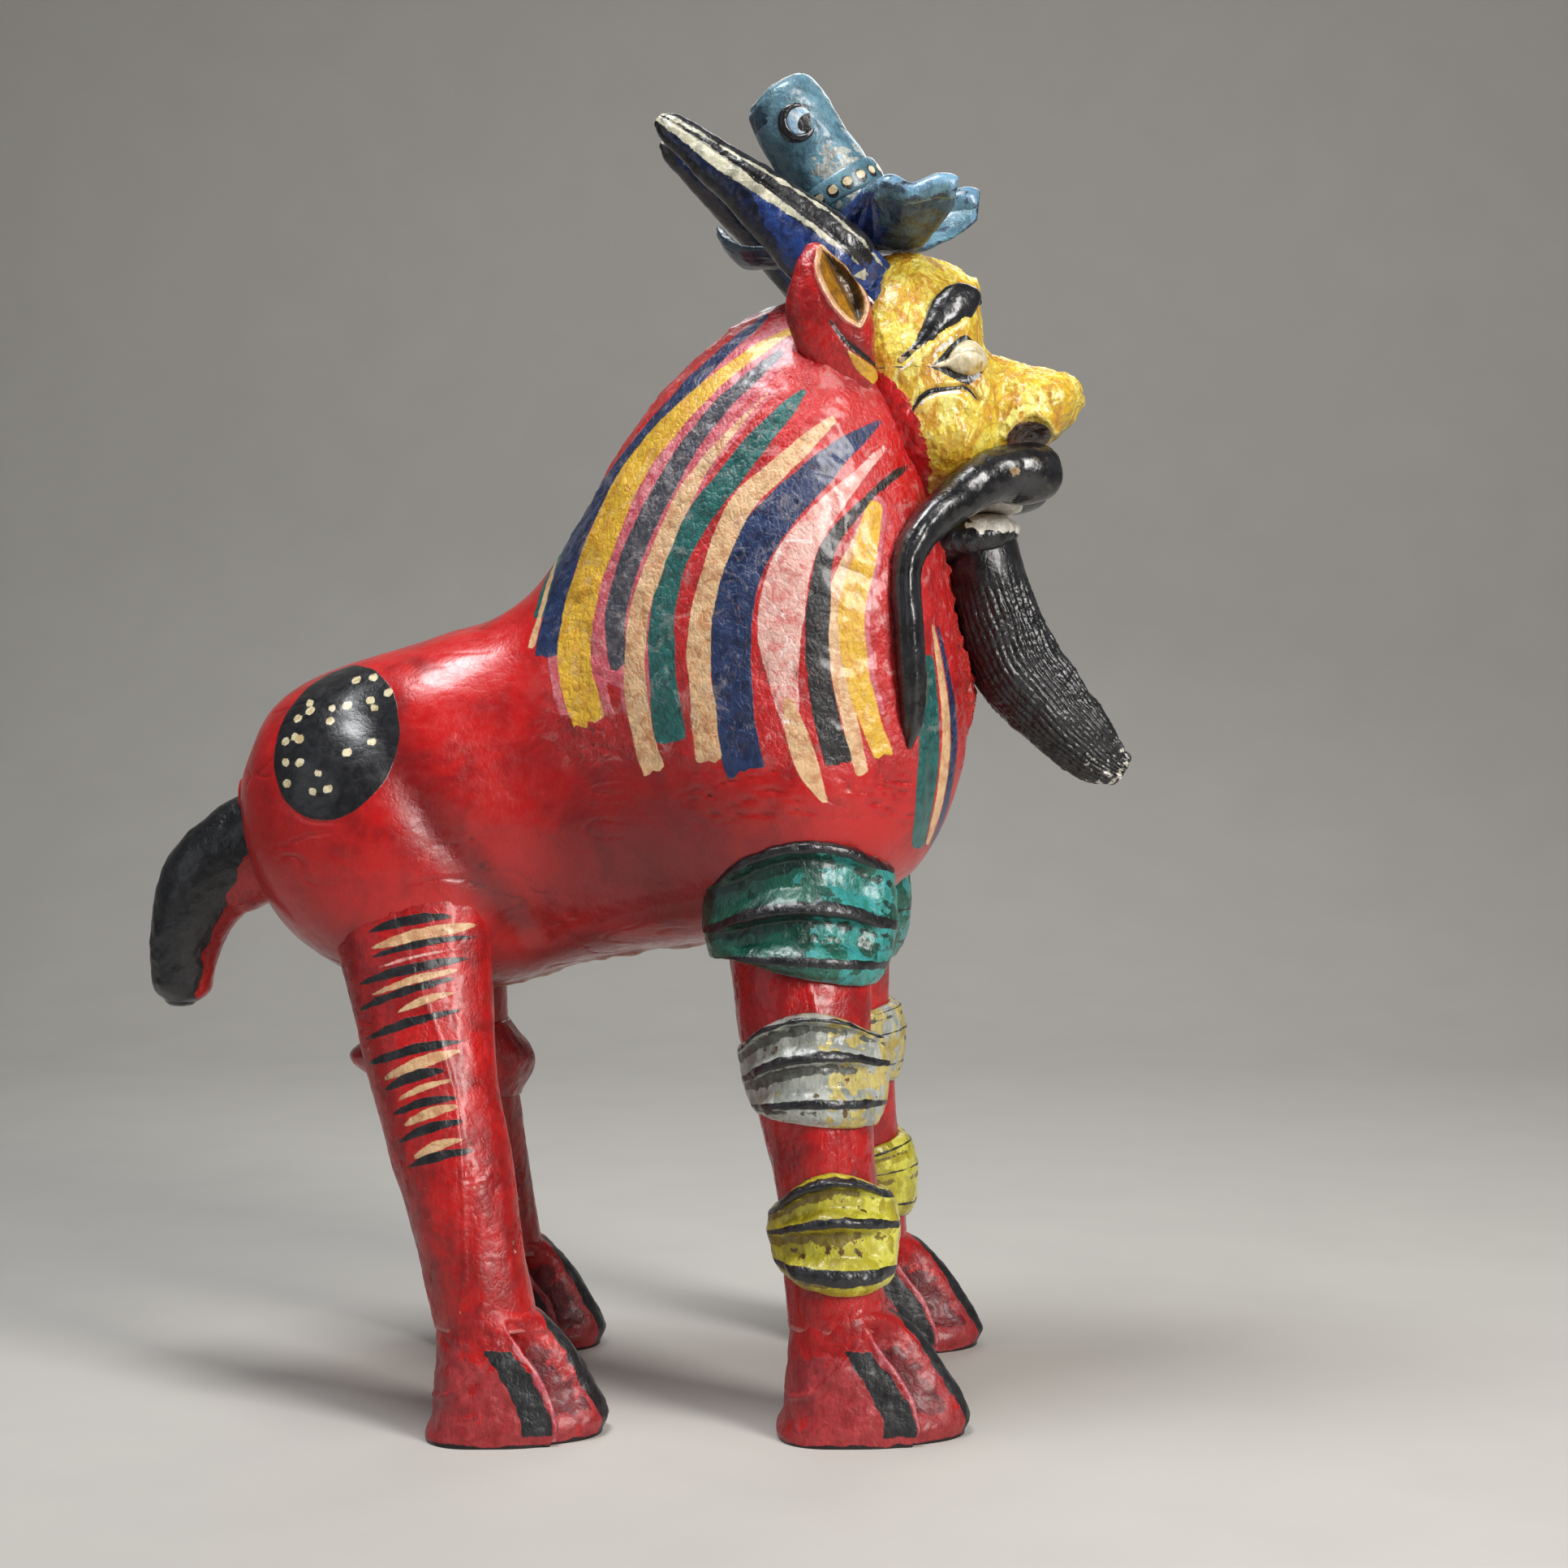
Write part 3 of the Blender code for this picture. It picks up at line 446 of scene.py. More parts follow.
def stripe(across, upward, line, ragged=None):
    """Signed distance to a brush line of changing width; a ragged one ends in a torn square cut."""
    rows = eased(line, 4)
    best = np.full(across.shape, FAR)
    for (ax, az, ar), (bx, bz, br) in zip(rows, rows[1:]):
        dx, dz = bx - ax, bz - az
        place = ((across - ax) * dx + (upward - az) * dz) / (dx * dx + dz * dz + TINY)
        t = np.clip(place, 0, 1)
        away = np.hypot(across - ax - dx * t, upward - az - dz * t)
        best = np.maximum(best, ar + (br - ar) * t - away)
    if ragged is not None:
        best = np.minimum(best, (1 - place) * math.hypot(dx, dz) + ragged)
    return best


def stripes(across, upward, lines, ragged=None):
    return np.maximum.reduce([stripe(across, upward, line, ragged) for line in lines])


def ridge(across, upward, width, *points):
    """A bump along a curve in the side view."""
    return bump(stripe(across, upward, [(*point, 0) for point in points]), width)


def ellipse(across, upward, centre, sizes, lean=0.0):
    angle = math.radians(lean)
    dx, dz = across - centre[0], upward - centre[1]
    a = dx * math.cos(angle) + dz * math.sin(angle)
    b = dz * math.cos(angle) - dx * math.sin(angle)
    return (1 - np.hypot(a / sizes[0], b / sizes[1])) * min(sizes)


def lens(across, upward, marks, belly):
    """Brush marks with two sharp ends, arched upwards in the middle."""
    best = np.full(across.shape, FAR)
    for x0, z0, x1, z1, thick in marks:
        length = math.hypot(x1 - x0, z1 - z0)
        ux, uz = (x1 - x0) / length, (z1 - z0) / length
        s = ((across - x0) * ux + (upward - z0) * uz) / length
        h = (upward - z0) * ux - (across - x0) * uz
        profile = np.clip(4 * s * (1 - s), 0, None)
        half = 0.5 * thick * profile ** 0.6 - 0.25
        ends = np.minimum(s, 1 - s) * length
        best = np.maximum(best, np.where(ends > 0, half - np.abs(h - belly * profile), ends - 0.2))
    return best


# ---------------------------------------------------------------- skins

def spread_out(points):
    """Each point's place between its neighbours round the ring and along the form."""
    along = points.copy()
    along[1:-1] = 0.5 * (points[2:] + points[:-2])
    return 0.5 * (0.5 * (np.roll(points, -1, 1) + np.roll(points, 1, 1)) + along)


class Skin:
    """A closed sheet of points in mm: rows along the form and columns around it.

    A joined skin's last row meets its first; a sheet's two faces meet along every edge.
    """

    def __init__(self, points, joined=False, sheet=False):
        self.points = points
        self.centres = points.mean(axis=1, keepdims=True)
        self.joined = joined
        self.sheet = sheet
        self.marks = {}

    @property
    def x(self):
        return self.points[..., 0]

    @property
    def y(self):
        return self.points[..., 1]

    @property
    def z(self):
        return self.points[..., 2]

    def normals(self):
        p = self.points
        sideways = np.roll(p, -1, 1) - np.roll(p, 1, 1)
        along = np.roll(p, -1, 0) - np.roll(p, 1, 0) if self.joined else np.gradient(p, axis=0)
        n = np.cross(sideways, along)
        n /= np.linalg.norm(n, axis=2, keepdims=True) + TINY
        return -n if np.sum(n * (p - self.centres)) < 0 else n

    def swell(self, amount):
        """Moves each point out along its normal."""
        self.points = self.points + self.normals() * np.asarray(amount)[..., None]

    def shift(self, x=0.0, y=0.0, z=0.0):
        """Moves each point along X, Y and Z."""
        self.points = self.points + np.stack(np.broadcast_arrays(x, y, z, self.x)[:3], axis=2)

    def distance(self, centre):
        return np.linalg.norm(self.points - np.array(centre, float), axis=2)

    def hollows(self, reach=3):
        """How far each point lies below its surroundings: about 1 in the deepest creases."""
        mean = self.points
        for _ in range(reach * 2):
            mean = spread_out(mean)
        depth = np.sum((mean - self.points) * self.normals(), axis=2)
        depth -= np.median(depth)
        return depth / (np.percentile(np.abs(depth), 97) + 1e-6)

    def build(self, name, material, slot, *replaced):
        """Makes the piece. Every mark becomes a number at each point, and so do the hollows."""
        if "hollow" not in self.marks:
            self.marks["hollow"] = self.hollows()
        rows, columns, _ = self.points.shape
        index = np.arange(rows * columns).reshape(rows, columns)
        ahead = np.roll(index, -1, 1)
        if self.joined:
            quads = np.stack((index, ahead, np.roll(ahead, -1, 0), np.roll(index, -1, 0)), axis=2)
        else:
            quads = np.stack((index[:-1], ahead[:-1], ahead[1:], index[1:]), axis=2)
        verts = (self.points.reshape(-1, 3) * MM).tolist()
        faces = quads.reshape(-1, 4).tolist()
        capped = not self.joined and not self.sheet
        if capped:
            for row, (a, b) in ((0, (ahead, index)), (-1, (index, ahead))):
                pole = len(verts)
                verts.append((self.points[row].mean(axis=0) * MM).tolist())
                faces += [(int(i), int(j), pole) for i, j in zip(a[row], b[row])]
        mesh = bpy.data.meshes.new(name)
        mesh.from_pydata(verts, [], faces)
        middle = self.normals()[rows // 2, columns // 4]
        if middle.dot(np.array(mesh.polygons[(rows // 2) * columns + columns // 4].normal)) < 0:
            mesh.flip_normals()
        for mark, values in self.marks.items():
            flat = values.ravel()
            if capped:
                flat = np.append(flat, (values[0].mean(), values[-1].mean()))
            layer = mesh.attributes.new(mark, "FLOAT", "POINT")
            layer.data.foreach_set("value", flat.astype(np.float32))
        if self.sheet:
            work = bmesh.new()
            work.from_mesh(mesh)
            bmesh.ops.remove_doubles(work, verts=work.verts, dist=WELD * MM)
            work.to_mesh(mesh)
            work.free()
        mesh.validate()
        mesh.shade_smooth()
        mesh.materials.append(material)
        obj = bpy.data.objects.new(name, mesh)
        bpy.context.scene.collection.objects.link(obj)
        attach(obj, "root")
        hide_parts(*replaced)


def domed(rings, reach_start, reach_end, steps=5):
    """Rounds both ends of a stack of rings outwards by these distances."""
    def cap(ring, inner, reach):
        centre = ring.mean(axis=0)
        outward = centre - inner.mean(axis=0)
        outward /= np.linalg.norm(outward) + TINY
        turns = 0.5 * math.pi * np.arange(1, steps + 1) / (steps + 0.35)
        return [centre + (ring - centre) * math.cos(t) + outward * reach * math.sin(t) for t in turns]
    start = cap(rings[0], rings[1], reach_start)[::-1]
    return np.stack([*start, *rings, *cap(rings[-1], rings[-2], reach_end)])


def slice_form(table, rows, columns, squareness=2.3, ends=(1.0, 1.0)):
    """Rings across X, rounded like a superellipse above and below their widest place."""
    turns = around(720)
    quarter = len(turns) // 4
    rings = []
    for x, low, wide, high, half, *below in evenly(eased(table), rows):
        power = np.full(len(turns), 2 / squareness)
        if below:
            power[turns > math.pi] = 2 / below[0]
        across = np.sign(np.cos(turns)) * np.abs(np.cos(turns)) ** power
        upward = np.sign(np.sin(turns)) * np.abs(np.sin(turns)) ** power
        height = np.where(upward > 0, high - wide, wide - low)
        ring = np.stack((np.full(len(turns), x), across * half, wide + upward * height), axis=1)
        parts = []
        for q in range(4):
            piece = np.take(ring, range(q * quarter, (q + 1) * quarter + 1), axis=0, mode="wrap")
            parts.append(evenly(piece, columns // 4 + 1)[:-1])
        rings.append(np.vstack(parts))
    return Skin(domed(rings, *ends))


def tube_form(table, rows, columns, side=RIGHT, ends=(1.0, 1.0), section=None):
    """Rings square to a spine of x, y, z, half width and half height."""
    stations = evenly(eased(table), rows)
    centres = stations[:, :3] * (1, side, 1)
    along = np.gradient(centres, axis=0)
    along /= np.linalg.norm(along, axis=1)[:, None]
    across = ACROSS - along * along[:, 1:2]
    across /= np.linalg.norm(across, axis=1)[:, None]
    upward = np.cross(across, along)
    turns = around(columns)
    rings = []
    for i in range(rows):
        scale = section(turns, i / (rows - 1)) if section else 1.0
        wide = np.cos(turns) * stations[i, 3] * scale
        tall = np.sin(turns) * stations[i, 4] * scale
        rings.append(centres[i] + wide[:, None] * across[i] + tall[:, None] * upward[i])
    skin = Skin(domed(rings, *ends))
    extra = (skin.points.shape[0] - rows) // 2

    def pad(values):
        """The end values go on over the domes."""
        return np.concatenate((values[:1].repeat(extra, 0), values, values[-1:].repeat(extra, 0)))

    skin.centres = pad(centres)[:, None, :]
    out, up = pad(across * side)[:, None, :], pad(upward)[:, None, :]
    skin.out, skin.high = (np.sum((skin.points - skin.centres) * way, axis=2) for way in (out, up))
    skin.along = pad(np.linspace(0, 1, rows))[:, None] * np.ones((1, columns))
    return skin


def staggered(table, stagger):
    lean, height = stagger
    return [(x + lean * (1 - z / height), y, z, *sizes) for x, y, z, *sizes in table]




# ---------------------------------------------------------------- materials

class Graph:
    """Short calls for the nodes of one material. Sizes and heights are in mm."""

    def __init__(self, name):
        self.material = bpy.data.materials.new(name)
        self.material.use_nodes = True
        self.tree = self.material.node_tree
        self.shader = self.tree.nodes["Principled BSDF"]
        self.place = self.node("ShaderNodeTexCoord").outputs["Object"]

    def node(self, kind, **settings):
        made = self.tree.nodes.new(kind)
        for key, value in settings.items():
            setattr(made, key, value)
        return made

    def feed(self, socket, value):
        if isinstance(value, bpy.types.NodeSocket):
            self.tree.links.new(value, socket)
        else:
            socket.default_value = value

    def math(self, operation, first, second=0.0, clamp=False):
        made = self.node("ShaderNodeMath", operation=operation, use_clamp=clamp)
        self.feed(made.inputs[0], first)
        self.feed(made.inputs[1], second)
        return made.outputs[0]

    def times(self, first, second):
        return self.math("MULTIPLY", first, second)

    def heap(self, *parts):
        """The sum of parts, each a value with its weight."""
        total = None
        for value, weight in parts:
            part = value if weight == 1 else self.times(value, weight)
            total = part if total is None else self.math("ADD", total, part)
        return total

    def span(self, value, low, high, to_low=0.0, to_high=1.0):
        made = self.node("ShaderNodeMapRange", interpolation_type="SMOOTHSTEP")
        for socket, number in zip(made.inputs, (value, low, high, to_low, to_high)):
            self.feed(socket, number)
        return made.outputs[0]

    def mix(self, share, first, second, blend="MIX"):
        made = self.node("ShaderNodeMix", data_type="RGBA", blend_type=blend)
        for k, value in ((0, share), (6, first), (7, second)):
            self.feed(made.inputs[k], value)
        return made.outputs[2]

    def mark(self, name):
        return self.node("ShaderNodeAttribute", attribute_name=name).outputs["Fac"]

    def stretched(self, *factors):
        made = self.node("ShaderNodeVectorMath", operation="MULTIPLY")
        self.feed(made.inputs[0], self.place)
        made.inputs[1].default_value = factors
        return made.outputs[0]

    def noise(self, size, detail=3.0, rough=0.55, place=None, twist=0.0):
        """Noise from 0 to 1 with features of this size."""
        made = self.node("ShaderNodeTexNoise")
        values = (self.place if place is None else place, 1 / (size * MM), detail, rough, twist)
        for key, value in zip(("Vector", "Scale", "Detail", "Roughness", "Distortion"), values):
            self.feed(made.inputs[key], value)
        return made.outputs["Fac"]

    def cells(self, size, place=None):
        """Distance to the edges of cells of this size."""
        made = self.node("ShaderNodeTexVoronoi", feature="DISTANCE_TO_EDGE")
        self.feed(made.inputs["Vector"], self.place if place is None else place)
        made.inputs["Scale"].default_value = 1 / (size * MM)
        return made.outputs["Distance"]

    def shades(self, colour, size=9.0, low=0.38, high=0.66):
        """A paint colour that drifts between its two shades."""
        return self.mix(self.span(self.noise(size, 4.0, 0.6, twist=0.6), low, high), *COLOUR[colour])

    def wobble(self, fine, middle, small, large):
        """How far a brushed edge wanders, from two noises."""
        centred = (self.math("SUBTRACT", value, 0.5) for value in (fine, middle))
        return self.heap(*zip(centred, (small, large)))

    def inside(self, mark, ragged, wobble, edge):
        """1 inside a painted shape, with a wandering edge."""
        return self.span(self.heap((self.mark(mark), 1), (ragged, wobble)), -edge, edge)

    def chips(self, size, broad):
        """Tiny chips through the paint, in patches."""
        holes = self.span(self.noise(size, 5.0, 0.7, twist=0.4), 0.735, 0.76)
        return self.times(holes, self.span(broad, 0.45, 0.62))

    def crumple(self, size, flat, fine, share, full=0.42):
        """Wrinkles of laid paper."""
        folds = self.cells(size, self.stretched(1.0, 1.0, flat))
        return self.span(self.heap((folds, 1), (fine, share)), 0.0, full)

    def relief(self, height, reach=1.0):
        made = self.node("ShaderNodeBump")
        made.inputs["Strength"].default_value = 1.0
        made.inputs["Distance"].default_value = reach * MM
        self.feed(made.inputs["Height"], height)
        self.feed(self.shader.inputs["Normal"], made.outputs["Normal"])

    def finish(self, colour, rough, coat, coat_rough, height):
        self.feed(self.shader.inputs["Base Color"], colour)
        self.feed(self.shader.inputs["Roughness"], rough)
        self.shader.inputs["Coat Weight"].default_value = coat
        self.shader.inputs["Coat Roughness"].default_value = coat_rough
        self.relief(height)
        return self.material


@functools.cache
def painted(name):
    """Hand-painted, varnished papier-mache, as its row in PAINTS says."""
    base, layers, changes = PAINTS[name]
    crinkle, roughness, coat, wear, grime_and_shade, worn, aged = (
        changes.get(key, usual) for key, usual in USUAL_PAINT.items())
    worn, soot = COLOUR[worn][0], COLOUR["soot"][0]
    g = Graph(name)
    fine = g.noise(1.1, 4.0, 0.62)
    middle = g.noise(4.5, 4.0, 0.6)
    broad = g.noise(22.0, 3.0, 0.5)
    ragged = g.wobble(fine, middle, 0.8, 1.6)
    colour = g.shades(base, 14.0)
    # Paint worn off the crests
    crest = g.span(g.heap((g.mark("hollow"), 1), (ragged, 0.5)), -0.5, -1.2, 0.0, wear)
    colour = g.mix(crest, colour, worn)
    raised = 0.0
    scuffs = g.noise(3.2, 6.0, 0.72, twist=1.2)
    for mark, paint, wobble, lost in layers:
        inside = g.inside(mark, ragged, wobble, 0.22)
        if lost:
            least = 0.5 + 0.2 * (1 - lost)
            inside = g.times(inside, g.span(scuffs, least, least + 0.06, 1.0, 0.15))
        colour = g.mix(inside, colour, g.shades(paint, 6.0))
        raised = g.math("MAXIMUM", raised, inside)
    # Soft brush streaks, old varnish, and grime with painted shade in the hollows
    streaks = g.noise(2.2, 3.0, 0.6, place=g.stretched(1.6, 1.6, 0.22))
    colour = g.mix(g.span(streaks, 0.35, 0.7, 0.0, 0.22), colour, soot, "MULTIPLY")
    colour = g.mix(g.span(broad, 0.42, 0.75, 0.0, 0.28), colour, COLOUR[aged][1], "MULTIPLY")
    deep = g.span(g.mark("hollow"), 0.3, 1.5, 0.0, grime_and_shade)
    colour = g.mix(deep, colour, g.mix(0.85, colour, soot))
    chips = g.chips(2.0, broad)
    colour = g.mix(g.math("MULTIPLY", chips, wear * 1.6, True), colour, worn)
    rough = g.span(middle, 0.3, 0.75, roughness - 0.09, roughness + 0.14)
    # Paper wrinkles, brush grain, the paint's thickness and chips
    height = g.heap(
        (g.crumple(2.6, 0.8, fine, 0.25), 0.16 * crinkle), (middle, 0.55 * crinkle),
        (fine, 0.16 * crinkle + 0.03), (streaks, 0.05), (raised, 0.07), (chips, -0.12),
    )
    return g.finish(colour, g.heap((rough, 1), (chips, 0.3)), coat, 0.16, height)


def body_paint():
    """Scarlet varnish with the stripes of the mane, worn and torn where the marks say, with painted shade and
    painted highlight.
    """
    g = Graph("scarlet_varnish_striped")
    mane, torn, hollow = (g.mark(name) for name in ("mane", "torn", "hollow"))
    paper, crimson, soot = (COLOUR[name][0] for name in ("paper", "crimson", "soot"))
    fine = g.noise(1.0, 4.0, 0.62)
    middle = g.noise(4.2, 4.0, 0.6)
    broad = g.noise(26.0, 3.0, 0.5)
    ragged = g.wobble(fine, middle, 1.0, 1.8)
    scuffs = g.noise(2.4, 6.0, 0.72, twist=0.8)
    colour = g.shades("scarlet", 20.0, 0.42, 0.72)
    faded = g.span(g.noise(12.0, 5.0, 0.65), 0.5, 0.75)
    colour = g.mix(g.times(faded, 0.35), colour, linear(206, 54, 46))
    # Painted shade darkens the red in the furrow, on the flank and low on the belly
    colour = g.mix(g.times(g.mark("shade"), 0.88), colour, crimson)
    between = g.times(mane, g.span(g.noise(7.0, 4.0, 0.6), 0.4, 0.7, 0.05, 0.4))
    colour = g.mix(between, colour, linear(190, 66, 72))
    raised = 0.0
    for mark, wobble, lost in MANE_LAYERS:
        least = 0.54 + 0.16 * (1 - lost)
        kept = g.span(scuffs, least, least + 0.06, 1.0, 0.3)
        inside = g.times(g.inside(mark, ragged, wobble, 0.25), kept)
        paint = g.shades("lagoon" if mark == "teal" else mark, 5.0, 0.42, 0.68)
        colour = g.mix(inside, colour, paint)
        raised = g.math("MAXIMUM", raised, inside)
    dots = g.inside("dots", ragged, 0.35, 0.2)
    colour = g.mix(dots, colour, g.shades("ivory", 3.0))
    raised = g.math("MAXIMUM", raised, dots)
    # Pale patches, partly rubbed paint and partly a painted highlight of glare, mostly on rose and hardly on
    # black, then brown specks
    rubs_and_glare = g.times(g.span(g.noise(9.0, 6.0, 0.7, twist=1.0), 0.54, 0.62), mane)
    share = g.times(g.span(g.mark("rose"), -0.5, 1.0, 0.14, 0.9),
                    g.span(g.mark("black"), -0.5, 0.5, 1.0, 0.25))
    colour = g.mix(g.times(rubs_and_glare, share), colour, linear(238, 224, 220))
    specks = g.times(g.span(g.noise(1.6, 3.0, 0.7), 0.6, 0.68), mane)
    colour = g.mix(g.times(specks, 0.42), colour, linear(120, 52, 40))
    # Raw torn paper at the neck, the worn seam of the belly, and soot round the tail
    rags = g.times(torn, g.span(g.noise(3.0, 5.0, 0.7), 0.42, 0.6))
    colour = g.mix(g.times(torn, 0.5), colour, linear(222, 44, 28))
    pores = g.times(torn, g.span(g.noise(1.5, 3.0, 0.7), 0.58, 0.66))
    colour = g.mix(g.times(pores, 0.6), colour, crimson)
    rubbed = g.times(g.mark("seam"), g.span(g.noise(5.0, 5.0, 0.7), 0.38, 0.55))
    colour = g.mix(g.times(rubbed, 0.75), colour, paper)
    ring = g.span(g.heap((g.mark("tail_ring"), 1), (ragged, 1.2)), -1.0, 1.5)
    colour = g.mix(g.times(ring, 0.9), colour, COLOUR["black"][0])
    # Grime and painted shade darken the hollows
    deep = g.span(hollow, 0.35, 1.6, 0.0, 0.62)
    colour = g.mix(deep, colour, g.mix(0.8, colour, soot))
    crest = g.span(g.heap((hollow, 1), (ragged, 0.5)), -0.9, -1.7, 0.0, 0.3)
    colour = g.mix(crest, colour, linear(214, 120, 104))
    chips = g.chips(2.2, broad)
    colour = g.mix(g.times(chips, 0.5), colour, paper)
    rough = g.heap((g.span(middle, 0.3, 0.75, 0.27, 0.46), 1), (mane, -0.05), (rags, 0.2))
    # The paper is most wrinkled under the mane
    wrinkles = g.heap((g.crumple(2.8, 0.75, fine, 0.25), 0.2), (middle, 0.6), (fine, 0.2))
    strength = g.math("ADD", g.times(mane, 0.85), 0.22)
    height = g.heap((wrinkles, strength), (rags, 0.8), (raised, 0.08), (chips, -0.15))
    return g.finish(colour, rough, 0.4, 0.17, height)


def face_paint():
    """Yellow varnish in broad brush strokes, with the face's painted shapes."""
    g = Graph("yellow_varnish_face")
    hollow = g.mark("hollow")
    (amber, dark_amber), (pale, dull_pale) = COLOUR["amber"], COLOUR["pale_lemon"]
    fine = g.noise(0.9, 4.0, 0.62)
    middle = g.noise(3.6, 4.0, 0.62)
    ragged = g.wobble(fine, middle, 0.8, 1.4)
    colour = g.shades("lemon", 9.0, 0.42, 0.6)
    washes = g.noise(17.0, 3.0, 0.5, place=g.stretched(1.3, 1.3, 0.7), twist=1.6)
    strokes = g.noise(10.0, 4.0, 0.55, place=g.stretched(1.5, 1.5, 0.5), twist=1.4)
    veins = g.cells(4.0, g.stretched(1.0, 1.0, 0.8))
    olive = g.heap((g.mark("olive"), 1), (ragged, 1))
    # Amber and pale lemon washes and strokes, darker veins along the wrinkles, dark ochre as painted shade in the
    # hollows, pale lemon as a painted highlight on the crests, and olive as painted shade under the nose
    for value, low, high, most, tint in (
        (washes, 0.5, 0.6, 0.8, amber), (washes, 0.47, 0.4, 0.8, dull_pale),
        (strokes, 0.56, 0.62, 0.8, dark_amber), (strokes, 0.42, 0.37, 0.8, pale),
        (veins, 0.09, 0.03, 0.4, linear(160, 118, 40)), (hollow, 0.35, 1.5, 0.6, linear(132, 88, 20)),
        (hollow, -0.5, -1.4, 0.55, linear(240, 226, 128)), (olive, -0.6, 1.6, 0.85, linear(78, 66, 26)),
    ):
        colour = g.mix(g.span(value, low, high, 0.0, most), colour, tint)
    raised = 0.0
    for mark, paint, wobble in FACE_LAYERS:
        inside = g.inside(mark, ragged, wobble, 0.2)
        colour = g.mix(inside, colour, g.shades(paint, 3.0))
        raised = g.math("MAXIMUM", raised, inside)
    height = g.heap((g.crumple(3.2, 0.7, fine, 0.3, 0.4), -0.16), (strokes, 0.35), (middle, 0.5),
                    (fine, 0.15), (raised, 0.08))
    return g.finish(colour, g.span(middle, 0.3, 0.75, 0.26, 0.46), 0.4, 0.15, height)


# ---------------------------------------------------------------- pieces

def make_body():
    """The moulded torso, neck and striped mane in one skin."""
    skin = slice_form(BODY_SLICES, 236, 480, ends=(3.0, 3.0))
    p = skin.points
    x, z, level = skin.x, skin.z, np.abs(skin.y)
    # Haunch and shoulder muscles, and the furrows around them
    furrow = ridge(x, z, 15, (-104, 272), (-88, 247), (-76, 228), (-61, 209), (-45, 188))
    furrow *= smooth(20, 44, level)
    bulge = mound(x, z, (-100, 232), 52, tall=1.25) * smooth(18, 50, level)
    flank = mound(x, z, (-8, 246), 40, wide=1.25) * smooth(25, 55, level)
    shoulder = mound(x, z, (70, 235), 40, wide=1.25) * smooth(30, 60, level)
    rear = mound(x, z, (-120, 190), 30) * smooth(15, 45, level)
    skin.swell(2.6 * bulge - 3.2 * furrow - 2.6 * flank + 1.6 * shoulder - 1.0 * rear)
    # The stiff vertical edge where the shoulder turns to the chest
    x, z = skin.x, skin.z
    edge = bump(x - 108.5, 4.5) * smooth(222, 240, z) * smooth(312, 290, z)
    front = bump(x - 115, 5.0) * smooth(215, 235, z) * smooth(318, 290, z)
    skin.swell(1.5 * edge - 1.3 * front)
    # Torn and crumpled front of the neck
    x, z = skin.x, skin.z
    torn = smooth(104, 122, x) * smooth(262, 285, z) * smooth(26, 14, np.abs(skin.y)) * smooth(372, 350, z)
    skin.swell(torn * (2.4 * noise(p, 6.0, 3, 3) + 1.2))
    # Hand-laid paper: broad dents, narrow creases along the body and small lumps
    mane = smooth(-46, -20, skin.x) * smooth(246, 262, skin.z)
    lumps = 1.3 * noise(p, 42, 1) + 0.5 * noise(p, 16, 2, 2) * (0.4 + mane)
    lumps += 0.34 * noise(p, 5, 5, 2) * (0.3 + mane) + 0.3 * mane * cracks(p, 6.5, 6, 2, 0.14)
    creases = cracks(p * (1.0, 1.0, 2.6), 26, 8, 1, 0.05) * smooth(-0.1, 0.4, noise(p, 30, 9))
    skin.swell(lumps - 0.55 * creases)
    # Scratches and peeled edges of the paper under the mane
    x, z = skin.x, skin.z
    under = smooth(224, 236, z) * smooth(256, 246, z) * smooth(10, 30, x) * smooth(112, 104, x)
    skin.swell(-0.9 * under * cracks(p * (0.5, 0.5, 2.2), 9, 12, 2, 0.10))
    # The ridge left along the belly by the glued seam
    seam = bump(skin.y, 4.0) * smooth(215, 190, skin.z) * smooth(-100, -70, skin.x)
    skin.swell(seam * (1.6 + 1.2 * noise(p, 9, 15, 2)))

    u, v, level = skin.x, skin.z, np.abs(skin.y)
    wobble = 0.7 * noise(p, 14, 21) + 0.2 * noise(p, 4, 22)
    ragged = 1.6 * noise(p * (1, 1, 0.4), 3.2, 23, 2) + 0.8 * noise(p, 9, 24)
    for paint, lines in MANE.items():
        skin.marks[paint] = stripes(u, v, lines, ragged) + wobble
    # Pink shows round the edges of some stripes
    edged = (MANE["yellow"][0], 3.6), (MANE["slate"][0], 3.4), (MANE["yellow"][1], 2.2), (MANE["cream"][0], 1.6)
    pink = np.maximum.reduce([stripe(u, v, line) + extra for line, extra in edged])
    skin.marks["pink"] = np.minimum(pink, (v - 271) * 0.7) + wobble
    for paint, lines in CHEST.items():
        chest = np.minimum(stripes(u, v, lines) + 0.3 * wobble, (level - 14) * 0.6)
        skin.marks[paint] = np.maximum(skin.marks[paint], chest)
    oval = np.minimum(ellipse(u, v, *OVAL) + 0.4 * noise(p, 10, 31), (level - 8) * 0.5)
    skin.marks["black"] = np.maximum(skin.marks["black"], oval)
    dots = [ellipse(u, v, place, (2.0 - 0.25 * (i % 3), 1.6 + 0.15 * (i % 2)), 35)
            for i, place in enumerate(OVAL_DOTS)]
    skin.marks["dots"] = np.minimum(np.maximum.reduce(dots), (level - 6) * 0.5)
    skin.marks["tail_ring"] = 17.0 - np.linalg.norm(p - (-158, 0, 222), axis=2)
    # Painted shade: the red is darker in the furrow, on the flank and low on the belly
    dusk = 0.94 * mound(u, v, (2, 216), 54, wide=1 / 0.7, tall=1.25) * smooth(20, 46, level)
    low = 0.75 * smooth(205, 172, v)
    skin.marks["shade"] = np.maximum.reduce((0.9 * furrow, 0.7 * flank, dusk, low))
    skin.marks.update(mane=mane, torn=torn, seam=seam)
    skin.build("body_skin", body_paint(), "scarlet_paint", "body_shell_right", "body_shell_left")


